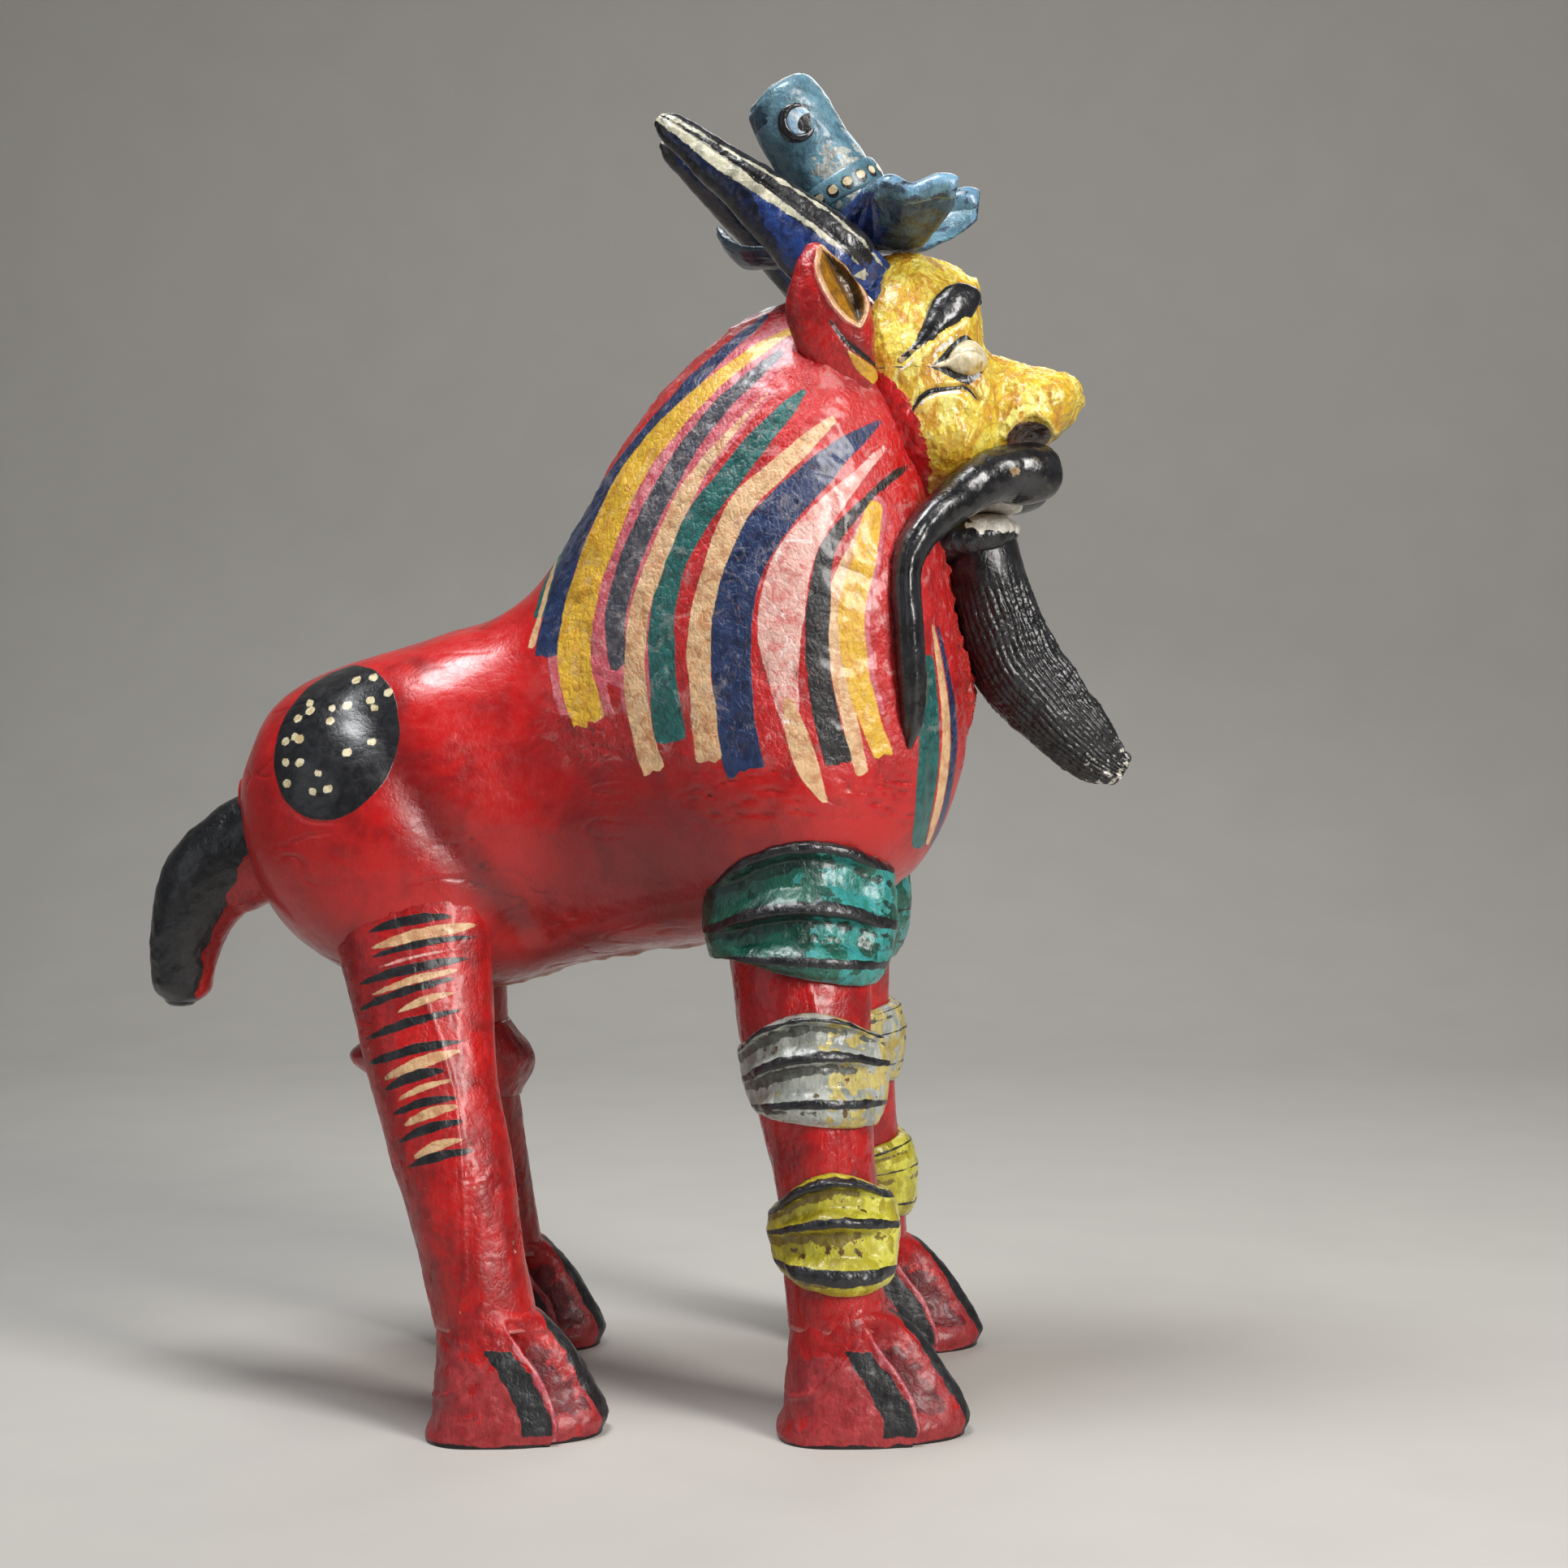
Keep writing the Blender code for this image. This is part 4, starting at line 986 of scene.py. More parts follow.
def make_face():
    """The yellow head: brow ridge, eye sockets, cheeks, nostrils and a drooping nose tip."""
    slices = [(*row, 2.3) for row in HEAD_SLICES]
    skin = slice_form(slices, 210, 300, squareness=1.9, ends=(1.5, 1.2))
    x, z, level = skin.x, skin.z, np.abs(skin.y)
    # The forehead is narrower in front than behind
    turned = smooth(4, 30, level) * smooth(126, 136, x) * smooth(409, 417, z)
    tip = smooth(160, 173, x) * smooth(398, 388, z)
    root = smooth(156, 139, x) * smooth(131, 138, x) * smooth(398, 408, z) * smooth(20, 8, level)
    skin.shift(x=-4.2 * turned - 1.2 * smooth(170, 178, x) - 1.2 * root, z=5.0 * tip + 3.6 * root)
    p = skin.points
    x, z, level = skin.x, skin.z, np.abs(skin.y)
    side_on = smooth(12, 24, level)
    socket = mound(x, z, (125, 409), 11, 1.25, 0.95)
    cheek = mound(x, z, (121, 380), 14, 1.3, 1.1)
    crease = ridge(
        x, z, 1.8, (106, 390), (109.3, 394.4), (114.6, 397.3), (121.6, 398.2), (127, 398.5), (132, 394))
    puff = ridge(x, z, 3.2, (108, 386), (115, 393.5), (123, 394.5), (129, 391))
    nose_side = ridge(x, z, 4.5, (138, 408), (143, 400), (141, 384))
    temple = mound(x, z, (104, 400), 9)
    shelf = ridge(x, z, 4.0, (104, 404), (112, 412.5), (121, 420), (130, 427)) * smooth(8, 20, level)
    plane = ridge(x, z, 8.0, (104, 424), (112, 436), (122, 443)) * smooth(6, 18, level)
    rim = ridge(x, z, 2.4, (143.5, 381), (147.6, 386.5), (153.5, 390), (160, 387.5), (163.8, 383.7))
    rim *= smooth(5, 12, level)
    cave = mound(x, z, (153.5, 380.5), 7.4, 1.25, 0.9) * smooth(4, 12, level)
    bridge = ridge(x, z, 5.0, (140, 404), (152, 402), (166, 399)) * smooth(5, 14, level)
    sides = -3.4 * socket + 3.4 * cheek - 1.9 * crease + puff - 1.8 * nose_side - 1.2 * temple
    skin.swell(side_on * sides + 1.8 * shelf - 1.2 * plane - 3.4 * cave + 1.5 * rim + 0.9 * bridge
               - 0.8 * mound(x, z, (176, 396), 9))
    q = skin.points
    web = 0.38 * cracks(q * (1, 1, 0.8), 6.5, 47, 2, 0.16) + 0.16 * cracks(q, 3.0, 48, 1, 0.16)
    skin.swell(0.55 * noise(q, 12, 41, 2) + 0.4 * noise(q * (1, 1, 0.6), 4.6, 42, 2) + web - 0.15)

    u, v = skin.x, skin.z
    beside = (level - 9) * 0.7
    # Black paint round the eye, a white lid behind it
    above = np.interp(u, (113.5, 119.6, 124, 126.7, 129.5, 133.4, 136.2),
                      (406.6, 413.4, 418.0, 419.6, 418.6, 415.3, 410.6))
    below = np.interp(u, (113.5, 117, 121.4, 124, 128.5, 132.5, 136.2),
                      (406.0, 404.6, 402.4, 401.0, 399.8, 402.6, 408.6))
    black = np.minimum.reduce((above - v, v - below, 136.8 - u)) * 0.8
    black = np.maximum(black, stripe(u, v, (
        (105.8, 388.5, 0.4), (109.3, 394.2, 1.0), (114.6, 397.1, 1.2), (121.6, 398, 0.8),
        (127, 398.6, 0.7), (131.5, 394.4, 0.3))))
    skin.marks["black"] = np.minimum(black + 0.2 * noise(p, 4, 44), beside)
    lid = stripe(u, v, ((113.5, 408.6, 0.2), (116.2, 412.0, 0.9), (120, 416.0, 1.0), (123.8, 419.6, 0.3)))
    line = stripe(u, v, (
        (107.5, 388.5, 0.1), (111, 393.3, 0.6), (117, 395.6, 0.8), (125, 396.6, 0.5), (130, 393, 0.1)))
    flakes = stripe(u, v, ((99, 403, 0.8), (103, 406, 1.4), (108, 410, 1.0))) - 0.9
    pale = np.maximum.reduce((lid, line, flakes)) + 1.1 * noise(p, 2.6, 49, 2)
    skin.marks["white"] = np.minimum(pale, beside)
    # A pale rim round the brown nostril, and olive as painted shade under the nose
    glow = stripe(u, v, ((142, 381.5, 0.6), (146, 388.5, 1.4), (153, 392.6, 1.5), (161, 390, 0.8)))
    skin.marks["glow"] = glow + 1.2 * noise(p, 3.4, 50, 2)
    opening = np.minimum(ellipse(u, v, (153.6, 379.3), (9.6, 7.6), 0), (level - 5) * 0.7)
    skin.marks["brown"] = opening + 0.3 * noise(p, 4, 51)
    skin.marks["olive"] = np.minimum(0.8 * (384.5 - v) + 0.7 * (u - 165), 6) - 1.5
    # Red of the hood behind the cheek, blue at the horn's root, and ochre under the hat as stain with painted
    # shade
    cheek_edge = np.interp(v, (350, 370, 384, 394, 403, 409), (114.5, 113, 108.5, 104.5, 95, 88))
    skin.marks["red"] = np.minimum((cheek_edge - u) * 0.8, (410 - v) * 0.8) + 1.6 * noise(p, 6, 46, 3)
    root = np.interp(v, (424, 430, 438, 452), (82, 90.5, 94.3, 95.5)) - u
    root = np.minimum.reduce((root, (v - 427) * 0.8, (level - 6) * 0.6))
    skin.marks["azure"] = root + 0.5 * noise(p, 5, 53, 2)
    top = np.minimum((v - 451.5) * 0.8, (109 - u) * 0.5)
    skin.marks["stain_and_shade"] = top + 1.5 * noise(p, 5, 54, 2) - 0.6
    skin.build("face_skin", face_paint(), "yellow_paint", "face")


def make_eyes(material):
    """Each eye is a ball with a thin tail that runs back along the lids."""
    outline = eased(EYE, 20)
    for word, side in SIDES.items():
        rows, columns = 100, 110
        spin = around(columns)[None, :]
        x = 125.1 - 11.1 * np.cos(np.linspace(0, math.pi, rows))
        y, z, deep, tall = (np.interp(x, outline[:, 0], outline[:, k])[:, None] for k in (1, 2, 3, 4))
        ball = np.stack((x[:, None] + 0 * spin, (y + deep * np.cos(spin)) * side, z + tall * np.sin(spin)), axis=2)
        skin = Skin(ball)
        p = skin.points
        lid = ((119, 408.5, 0), (124, 411.5, 0), (129, 413.2, 0), (134, 412, 0))
        crease = stripe(skin.x, skin.z, lid)
        skin.swell(0.3 * noise(p, 5, 51, 2) - 0.45 * bump(crease, 1.2) + 0.5 * bump(crease - 2.0, 1.5))
        low_front = (408.5 - skin.z) * 0.5 + (skin.x - 128) * 0.12 - 1.2
        skin.marks["gold"] = low_front + 1.2 * noise(p, 3.5, 52, 2)
        skin.build(f"eye_{word}_ball", material, "white_paint", f"eye_{word}")


def make_brows(material):
    for word, side in SIDES.items():
        skin = tube_form(BROW, 110, 90, side, ends=(1.6, 1.0))
        # Flat along the lower edge, round above
        p, low = skin.points, -skin.high
        skin.swell(0.35 * noise(p, 8, 61, 2) + 0.12 * noise(p, 2.5, 62)
                   - 0.8 * smooth(1, 6, low) * smooth(0.1, 0.4, skin.along))
        scrape = ellipse(skin.x, skin.z, (104.5, 411), (4.5, 1.0), 40)
        skin.marks["scrape"] = scrape + 1.4 * noise(skin.points, 2.2, 63, 2)
        skin.build(f"brow_{word}_relief", material, "black_paint", f"brow_{word}")


def make_mouth(black, white):
    jaw = slice_form(JAW_SLICES, 60, 96, ends=(1.5, 2.0))
    # The lip curls back under itself and runs on into the beard
    curl = smooth(138, 152, jaw.x) * (1.8 + 3.4 * smooth(346, 337, jaw.z))
    jaw.shift(x=-curl)
    p = jaw.points
    roll = mound(jaw.x, jaw.z, (142, 347), 14, tall=1 / 1.2)
    jaw.swell(1.6 * roll + 0.7 * noise(p, 8, 71, 2) + 0.35 * noise(p, 2.6, 72, 2))
    jaw.marks["white"] = np.minimum(jaw.z - 344.2, (jaw.x - 130) * 0.5) + 2.0 * noise(p, 3.4, 73, 3)
    jaw.build("lower_lip", black, "black_paint", "lower_jaw")
    teeth = slice_form(TEETH_SLICES, 50, 80, ends=(1.0, 1.0))
    gaps = np.abs(np.sin(teeth.y * math.pi / 7.0)) ** 0.25 - 1
    teeth.swell(0.9 * gaps * smooth(357, 353, teeth.z) + 0.3 * noise(teeth.points, 4, 75, 2))
    teeth.build("upper_teeth_row", white, "white_paint", "upper_teeth")


def make_moustaches(material):
    for word, side in SIDES.items():
        skin = tube_form(MOUSTACHE, 260, 96, side, ends=(3.0, 2.0))
        p = skin.points
        # A long soft groove along the outer face
        groove = bump(skin.high - 1.2, 2.2) * smooth(0, 3, skin.out) * smooth(0.35, 0.55, skin.along)
        skin.swell(-0.9 * groove + 0.7 * noise(p, 14, 81, 2) + 0.14 * noise(p, 3.5, 82, 2))
        scrape = ellipse(skin.x, skin.z, (146, 366), (2.2, 1.6), 20)
        skin.marks["scrape"] = scrape + noise(p, 2.0, 83, 2)
        skin.build(f"moustache_{word}_strand", material, "black_paint", f"moustache_{word}")


def make_beard(material):
    skin = tube_form(BEARD, 300, 300, ends=(3.0, 1.6))
    p = skin.points
    turn = np.arctan2(skin.high, skin.out)
    # Combed strands that split and join: sharp furrows along the beard
    sway = turn * 19 + 1.6 * noise(p * (0.5, 1, 0.5), 12, 91, 2) + 1.3 * skin.along
    strands = np.abs(np.sin(sway)) ** 0.7
    broken = smooth(-0.5, 0.3, noise(p, 7, 92, 2))
    comb = smooth(0.08, 0.24, skin.along)
    furrows = 0.85 * strands * (0.45 + 0.55 * broken) - 0.5 + 0.28 * noise(p, 1.9, 93, 2)
    knot = bump(skin.along - 0.08, 0.1)
    skin.swell(comb * furrows + 0.9 * noise(p, 16, 94, 2) + 0.8 * knot)
    # The tip is a rough, nearly square end
    skin.swell(smooth(0.9, 1.0, skin.along) * (1.1 * noise(p, 4, 95, 2)))
    skin.marks["white"] = smooth(0.8, 0.97, skin.along) * 1.3 - 1.75 + 1.5 * noise(p, 3.0, 96, 3)
    skin.build("beard_strands", material, "black_paint", "beard")


def make_horns(material):
    def section(turns, t):
        # A rounded triangle with a ridge along the top
        return 1 + 0.07 * np.cos(3 * (turns - math.pi / 2)) + 0.02 * math.sin(9 * t)
    for word, side in SIDES.items():
        skin = tube_form(HORN, 220, 110, side, ends=(1.0, 1.6), section=section)
        # The root flattens into the side of the head
        sunk = smooth(0.2, 0.0, skin.along) * 14.0
        skin.shift(y=-sunk * side)
        skin.centres = skin.centres - (sunk * side)[:, :1, None] * ACROSS
        p, out, along = skin.points, skin.out, skin.along
        tall = np.interp(along, np.linspace(0, 1, 7), (16, 16, 15.5, 12, 8.5, 6, 3))
        v = skin.high / tall
        groove = bump(v - 0.48, 0.12) * smooth(0, 2, out)
        skin.swell(0.6 * noise(p, 18, 101, 2) + 0.22 * noise(p, 4, 102, 2) - 0.5 * groove)
        # An ivory band along the middle, a thin one under the top edge and a spot at the root
        width = np.interp(along, (0, 0.12, 0.25, 0.5, 0.7, 0.88, 1), (0, 0.3, 0.9, 1.9, 3.1, 2.2, 1.3))
        centre = np.interp(along, (0, 0.2, 0.5, 0.8, 1), (0.46, 0.38, 0.2, 0.1, 0.1))
        edge = np.interp(along, (0, 0.12, 0.4, 0.75, 1), (0.1, 0.5, 0.45, 0.5, 1))
        facing = (out + 1.5) * 0.6
        ivory = np.minimum(width - np.abs(v - centre) * tall, facing)
        rim = np.minimum(edge + 0.8 * noise(p, 5, 106) - np.abs(v - 0.88) * tall, facing + 1)
        before, above = skin.x - 83.5, skin.z - 442.8
        spot = np.minimum.reduce(
            (88.4 - skin.x, (0.68 * before - above) * 0.85, (above + 0.32 * before) * 0.95, facing))
        skin.marks["ivory"] = np.maximum.reduce((ivory + 0.7 * noise(p, 6, 103, 2), rim, spot))
        low = (centre - v) * tall - width + 0.8
        navy = np.minimum.reduce((low, (v + 0.8) * tall, (0.93 - along) * 60)) + 0.4 * noise(p, 7, 104)
        skin.marks["navy"] = navy
        base = np.minimum(navy, (0.56 - along) * 26 + (v + 0.1) * 9)
        root = (0.11 - along) * 60
        skin.marks["blue"] = np.maximum(base + 1.6 * noise(p, 9, 105, 2), root + 2 * noise(p, 6, 107))
        skin.build(f"horn_{word}_skin", material, "black_paint", f"horn_{word}")


def make_ears(material):
    for word, side in SIDES.items():
        skin = tube_form(EAR, 150, 150, side, ends=(1.0, 1.2))
        p = skin.points
        inside = stripe(skin.x, skin.z, EAR_HOLLOW)
        outward = (p[..., 1] - skin.centres[..., 1]) * side
        facing = smooth(-1.0, 1.5, outward)
        # The rim stands up round a deep hollow
        sunk = 8.0 * smooth(-0.6, 6.0, inside) * facing
        skin.shift(x=0.25 * sunk, y=-side * sunk)
        skin.swell(0.9 * bump(inside + 0.9, 1.6) * facing)
        fold = ridge(skin.x, skin.z, 1.8, (76, 421), (83, 412), (92, 406))
        skin.swell(-1.1 * fold * facing + 0.4 * noise(p, 9, 111, 2) + 0.2 * noise(p, 3, 112, 2))
        u, v = skin.x, skin.z
        skin.marks["ochre"] = np.minimum(inside - 0.3, outward + 9)
        # Painted shade: umber deep in the front half of the hollow
        across = 0.9 * (u - 78.6) + 0.44 * (v - 436)
        skin.marks["dusk"] = np.minimum.reduce((inside - 1.6, across + 0.8, outward + 9))
        skin.marks["ivory"] = np.where(facing > 0.2, 0.85 - np.abs(inside + 0.1), -1.0)
        black = stripe(u, v, ((74, 422, 0.4), (79, 415.5, 0.9), (85, 411, 1.0), (92, 406.5, 0.6)))
        skin.marks["black"] = np.minimum(black, facing - 0.2)
        yellow = stripe(u, v, ((81, 411, 0.4), (86, 406, 2.4), (92, 402, 3.0)))
        skin.marks["yellow"] = np.minimum(yellow, facing * 2 - 0.4)
        hollow = skin.hollows()
        skin.marks["hollow"] = np.where(inside > 0, np.maximum(hollow, 0.0), hollow)
        skin.build(f"ear_{word}_leaf", material, "scarlet_paint", f"ear_{word}")


def crown_frame(share):
    """Centre, direction and radius of the hat's crown at this share of its length."""
    dense = eased(CROWN)
    place = share * (len(dense) - 1)
    i = min(int(place), len(dense) - 2)
    mixed = dense[i] + (dense[i + 1] - dense[i]) * (place - i)
    axis = dense[i + 1][:3] - dense[i][:3]
    axis /= np.linalg.norm(axis)
    return mixed[:3], axis, mixed[3]


def make_hat(blue, band_material):
    crown = tube_form(CROWN, 190, 200, ends=(1.0, 2.4))
    p = crown.points
    out = crown.out
    dent = bump(crown.distance((42, -8, 512)), 13) + bump(crown.distance((42, 8, 512)), 13)
    crown.swell(-1.6 * dent + 0.7 * noise(p, 22, 121, 2) + 0.25 * noise(p, 5, 122, 2))
    # Painted shade: darker steel in and round the dent at the back of the top
    crown.marks["dark"] = 9 - crown.distance((40, -10, 508)) + 5 * noise(p, 9, 127, 3)
    crown.marks["chalk"] = 11 - crown.distance((82, -16, 486)) + 7 * noise(p, 4, 128, 3)
    centre, axis, radius = crown_frame(CRESCENT_PLACE)
    forward = np.array((axis[2], 0, -axis[0]))
    local_x = np.sum((crown.points - centre) * forward, axis=2)
    local_z = np.sum((crown.points - centre) * axis, axis=2)
    pupil = np.minimum(ellipse(local_x, local_z, (0.6, 0.2), (5.6, 5.4)), np.abs(out) - 8)
    ball = np.minimum(ellipse(local_x, local_z, (0, 0), (7.4, 7.6)), np.abs(out) - 8)
    crown.marks["black"] = np.where(local_x - local_z * 0.5 > 5.4, -2, ball)
    inner = np.minimum(pupil, -ellipse(local_x, local_z, (3.6, -2.2), (5.0, 3.6)) + 0.2)
    crown.marks["glint"] = inner - 0.2
    crown.build("hat_crown_skin", blue, "blue_paint", "hat_crown")

    # Band: a rolled paper strip with dots
    rows, columns = 40, 360
    spin = around(columns)[:, None]
    start, end = 0.2, 0.32  # shares of the crown's length
    middle, half = 0.5 * (start + end), 0.5 * (end - start)
    rings = []
    for k in range(rows):
        turn = 2 * math.pi * k / rows
        centre, axis, radius = crown_frame(middle - half * math.cos(turn))
        lift = 0.2 + 1.9 * max(0.0, math.sin(turn)) ** 0.6 - 0.8 * max(0.0, -math.sin(turn))
        upward = np.cross(axis, ACROSS)
        rings.append(centre + (radius + lift) * (np.cos(spin) * ACROSS + np.sin(spin) * upward))
    band = Skin(np.stack(rings), joined=True)
    centre, axis, radius = crown_frame(middle)
    upward = np.cross(axis, ACROSS)
    rel = band.points - centre
    angle = np.arctan2(np.sum(rel * upward, axis=2), np.sum(rel * ACROSS, axis=2))
    height = np.sum(rel * axis, axis=2)
    step = 2 * math.pi / 18
    cell = (angle / step - np.floor(angle / step) - 0.5) * step * (radius + 2)
    band.points = band.points + 0.3 * noise(band.points, 6, 125, 2)[..., None] * upward
    band.marks["black"] = 2.5 - np.hypot(cell + 0.4, height * 0.9 + 0.5)
    band.marks["ivory"] = 1.75 - np.hypot(cell * 0.85, height * 1.05) + 0.2 * noise(band.points, 2, 126)
    band.marks["hollow"] = 0 * band.x
    band.build("hat_band_strip", band_material, "black_paint", "hat_band")


def make_crescents(material):
    centre, axis, radius = crown_frame(CRESCENT_PLACE)
    forward = np.array((axis[2], 0, -axis[0]))
    for word, side in SIDES.items():
        rows, columns = 90, 28
        outward = np.array((0, side, 0))
        rings = []
        for i in range(rows):
            t = i / (rows - 1)
            angle = math.radians(50) + math.radians(255) * t
            thick = 0.35 + 1.7 * math.sin(math.pi * t) ** 0.8
            middle = centre + forward * 6.4 * math.cos(angle) + axis * 6.6 * math.sin(angle)
            inward = (centre - middle) / np.linalg.norm(centre - middle)
            depth = 0.7 + 1.1 * math.sin(math.pi * t)
            ring = []
            for k in range(columns):
                turn = 2 * math.pi * k / columns
                spot = middle + inward * thick * math.cos(turn)
                away = np.dot(spot - centre, forward)
                surface = math.sqrt(radius * radius - away * away)
                ring.append(spot + outward * (surface - 0.6 + depth * (0.6 + math.sin(turn))))
            rings.append(np.array(ring))
        skin = Skin(domed(rings, 0.3, 0.3, 3))
        skin.swell(0.15 * noise(skin.points, 3, 131, 2))
        skin.build(f"hat_crescent_{word}_relief", material, "black_paint", f"hat_crescent_{word}")


def make_brim(material):
    """A bent sheet with thick rolled side edges; the left one reaches further and higher."""
    turning, tip = 90.0, 120.0
    stations = evenly(eased(BRIM), 200)
    count = 150
    v = np.sin(np.linspace(-0.5, 0.5, count) * math.pi) * 0.35 + np.linspace(-1, 1, count) * 0.65
    x, z, half, rise = (stations[:, k, None] * np.ones((1, count)) for k in range(4))
    left_side = smooth(0, 0.8, v)[None, :]
    reach = np.interp(v, (-1, -0.75, -0.4, 0, 0.4, 0.75, 1), (124.5, 123, 116, 111, 119, 136, 138))[None, :]
    lip = np.abs(v)[None, :]
    height = z + rise * lip ** 2.2 * (1 + 0.42 * left_side * smooth(98, 120, x))
    along = np.where(x > turning, turning + (x - turning) * (reach - turning) / (tip - turning), x)
    sheet = np.stack((along, half * v, height), axis=2)
    # Gathered pleats at the side, in front of the band
    spread = np.arctan2(sheet[..., 2] - 478, sheet[..., 0] - 90)
    gathered = mound(sheet[..., 0], sheet[..., 2], (83, 463), 13, tall=1.25)
    gathered *= smooth(8, 16, np.abs(sheet[..., 1]))
    normal = np.cross(np.gradient(sheet, axis=1), np.gradient(sheet, axis=0))
    normal /= np.linalg.norm(normal, axis=2, keepdims=True)
    normal *= np.sign(normal[..., 2:3].mean())
    pleats = np.abs(np.sin(spread * 6.5 + 0.6 * noise(sheet, 9, 145))) - 0.5
    sheet = sheet + normal * (2.6 * gathered * pleats + 0.9 * noise(sheet, 19, 141, 2))[..., None]
    # Thickness: a thin sheet with a roll along each side, rounded off at every edge
    edge = (1 - lip) * half * 1.5
    roll = np.interp(x, (70, 92, 104, 114), (1.4, 4.6, 4.2, 4.8))
    rolled = 2 * np.sqrt(np.clip(roll ** 2 - (edge - roll) ** 2, 0, None))
    thin = 2.6 * np.sqrt(np.clip(edge / 3, 0, 1))
    thick = np.maximum(rolled, thin)
    ends = np.minimum(x - stations[0, 0], stations[-1, 0] - x)
    ends = np.clip(ends / np.interp(x, (40, 110), (2.0, 2.6)), 0, 1)
    thick = thick * np.sqrt(1 - (1 - ends) ** 2)
    above = sheet + normal * (thick * 0.5)[..., None]
    below = sheet - normal * (thick * 0.5)[..., None]
    skin = Skin(np.concatenate((above, below[:, ::-1]), axis=1), sheet=True)
    skin.centres = np.concatenate((sheet, sheet[:, ::-1]), axis=1)
    body = np.concatenate((thick, thick[:, ::-1]), axis=1)
    away = np.concatenate((edge, edge[:, ::-1]), axis=1)
    p = skin.points
    dull = smooth(0.3, 2.0, body)
    grain = 0.45 * noise(p * (0.4, 1, 1), 4, 147, 2) * smooth(12, 6, away)
    skin.swell(dull * (0.35 * noise(p, 7, 142, 2) + grain))
    # Painted shade: darker steel on the underside away from its edges and towards the back, with darker mottles
    # besides
    under = np.concatenate((thick * 0 - 3, thick * 0 + 3), axis=1)
    rear = (60 - skin.x) * 0.3
    pale_edge = np.where(p[..., 1] > 0, 3.0, 9.5)
    dark = np.maximum(np.minimum(under, (away - pale_edge) * 0.7), rear) + 1.6 * noise(p, 8, 144, 3)
    skin.marks["dark"] = np.maximum(dark, 1.5 * noise(p * (0.4, 1, 1), 4, 148, 2) - 0.55)
    violet = 10 - np.hypot((skin.x - 83) * 0.8, (skin.z - 463) * 0.7)
    skin.marks["violet"] = violet + 3.0 * noise(p, 6, 146, 2)
    skin.marks["hollow"] = skin.hollows(4)
    skin.build("hat_brim_roll", material, "blue_paint", "hat_brim")


def make_leg(name, table, side, material, marked, seed):
    rows, columns = 210, 168
    turns = around(columns)
    rings = [np.stack((x + a * np.cos(turns), (y + b * np.sin(turns)) * side, np.full(columns, z)), axis=1)
             for x, y, z, a, b in evenly(eased(table), rows)]
    skin = Skin(domed(rings, 2.0, 1.0, 3))
    p = skin.points
    outward = (skin.y - skin.centres[..., 1]) * side
    # Rolled paper: overlap ridges that wind down the leg, dents and small blisters
    overlap = noise(p * (1, 1, 0.25), 11, seed, 2)
    skin.swell(0.9 * noise(p, 30, seed + 1) + 0.55 * overlap + 0.16 * noise(p, 4, seed + 2, 2))
    lap = [(table[k][0] + dx, z) for k, dx, z in ((0, -6, 200), (2, 12, 130), (4, 2, 60))]
    skin.swell(0.5 * ridge(skin.x, skin.z, 1.1, *lap) * smooth(0, 6, outward))
    scars = cracks(p * (1.2, 1.2, 0.6), 7, seed + 3, 2, 0.07) * smooth(0.05, 0.35, noise(p, 14, seed + 4))
    skin.swell(-0.5 * scars)
    u, v = skin.x, skin.z
    if marked:
        stagger, height = (0.0, 1.0) if side == RIGHT else HIND_STAGGER
        lean = u - stagger * (1 - v / height)
        facing = outward * 0.6
        wobble = 0.35 * noise(p, 5, seed + 6)
        for mark, strokes, belly in (
            ("cream", LEG_CREAM, 1.3), ("rose", LEG_ROSE, 1.3), ("black", LEG_BLACK, 1.9),
        ):
            skin.marks[mark] = np.minimum(lens(lean, v, strokes, belly) + wobble, facing)
    skin.marks["peel"] = 1.4 * noise(p, 5, seed + 7, 3) - 1.5
    skin.build(f"{name}_skin", material, "scarlet_paint", name)


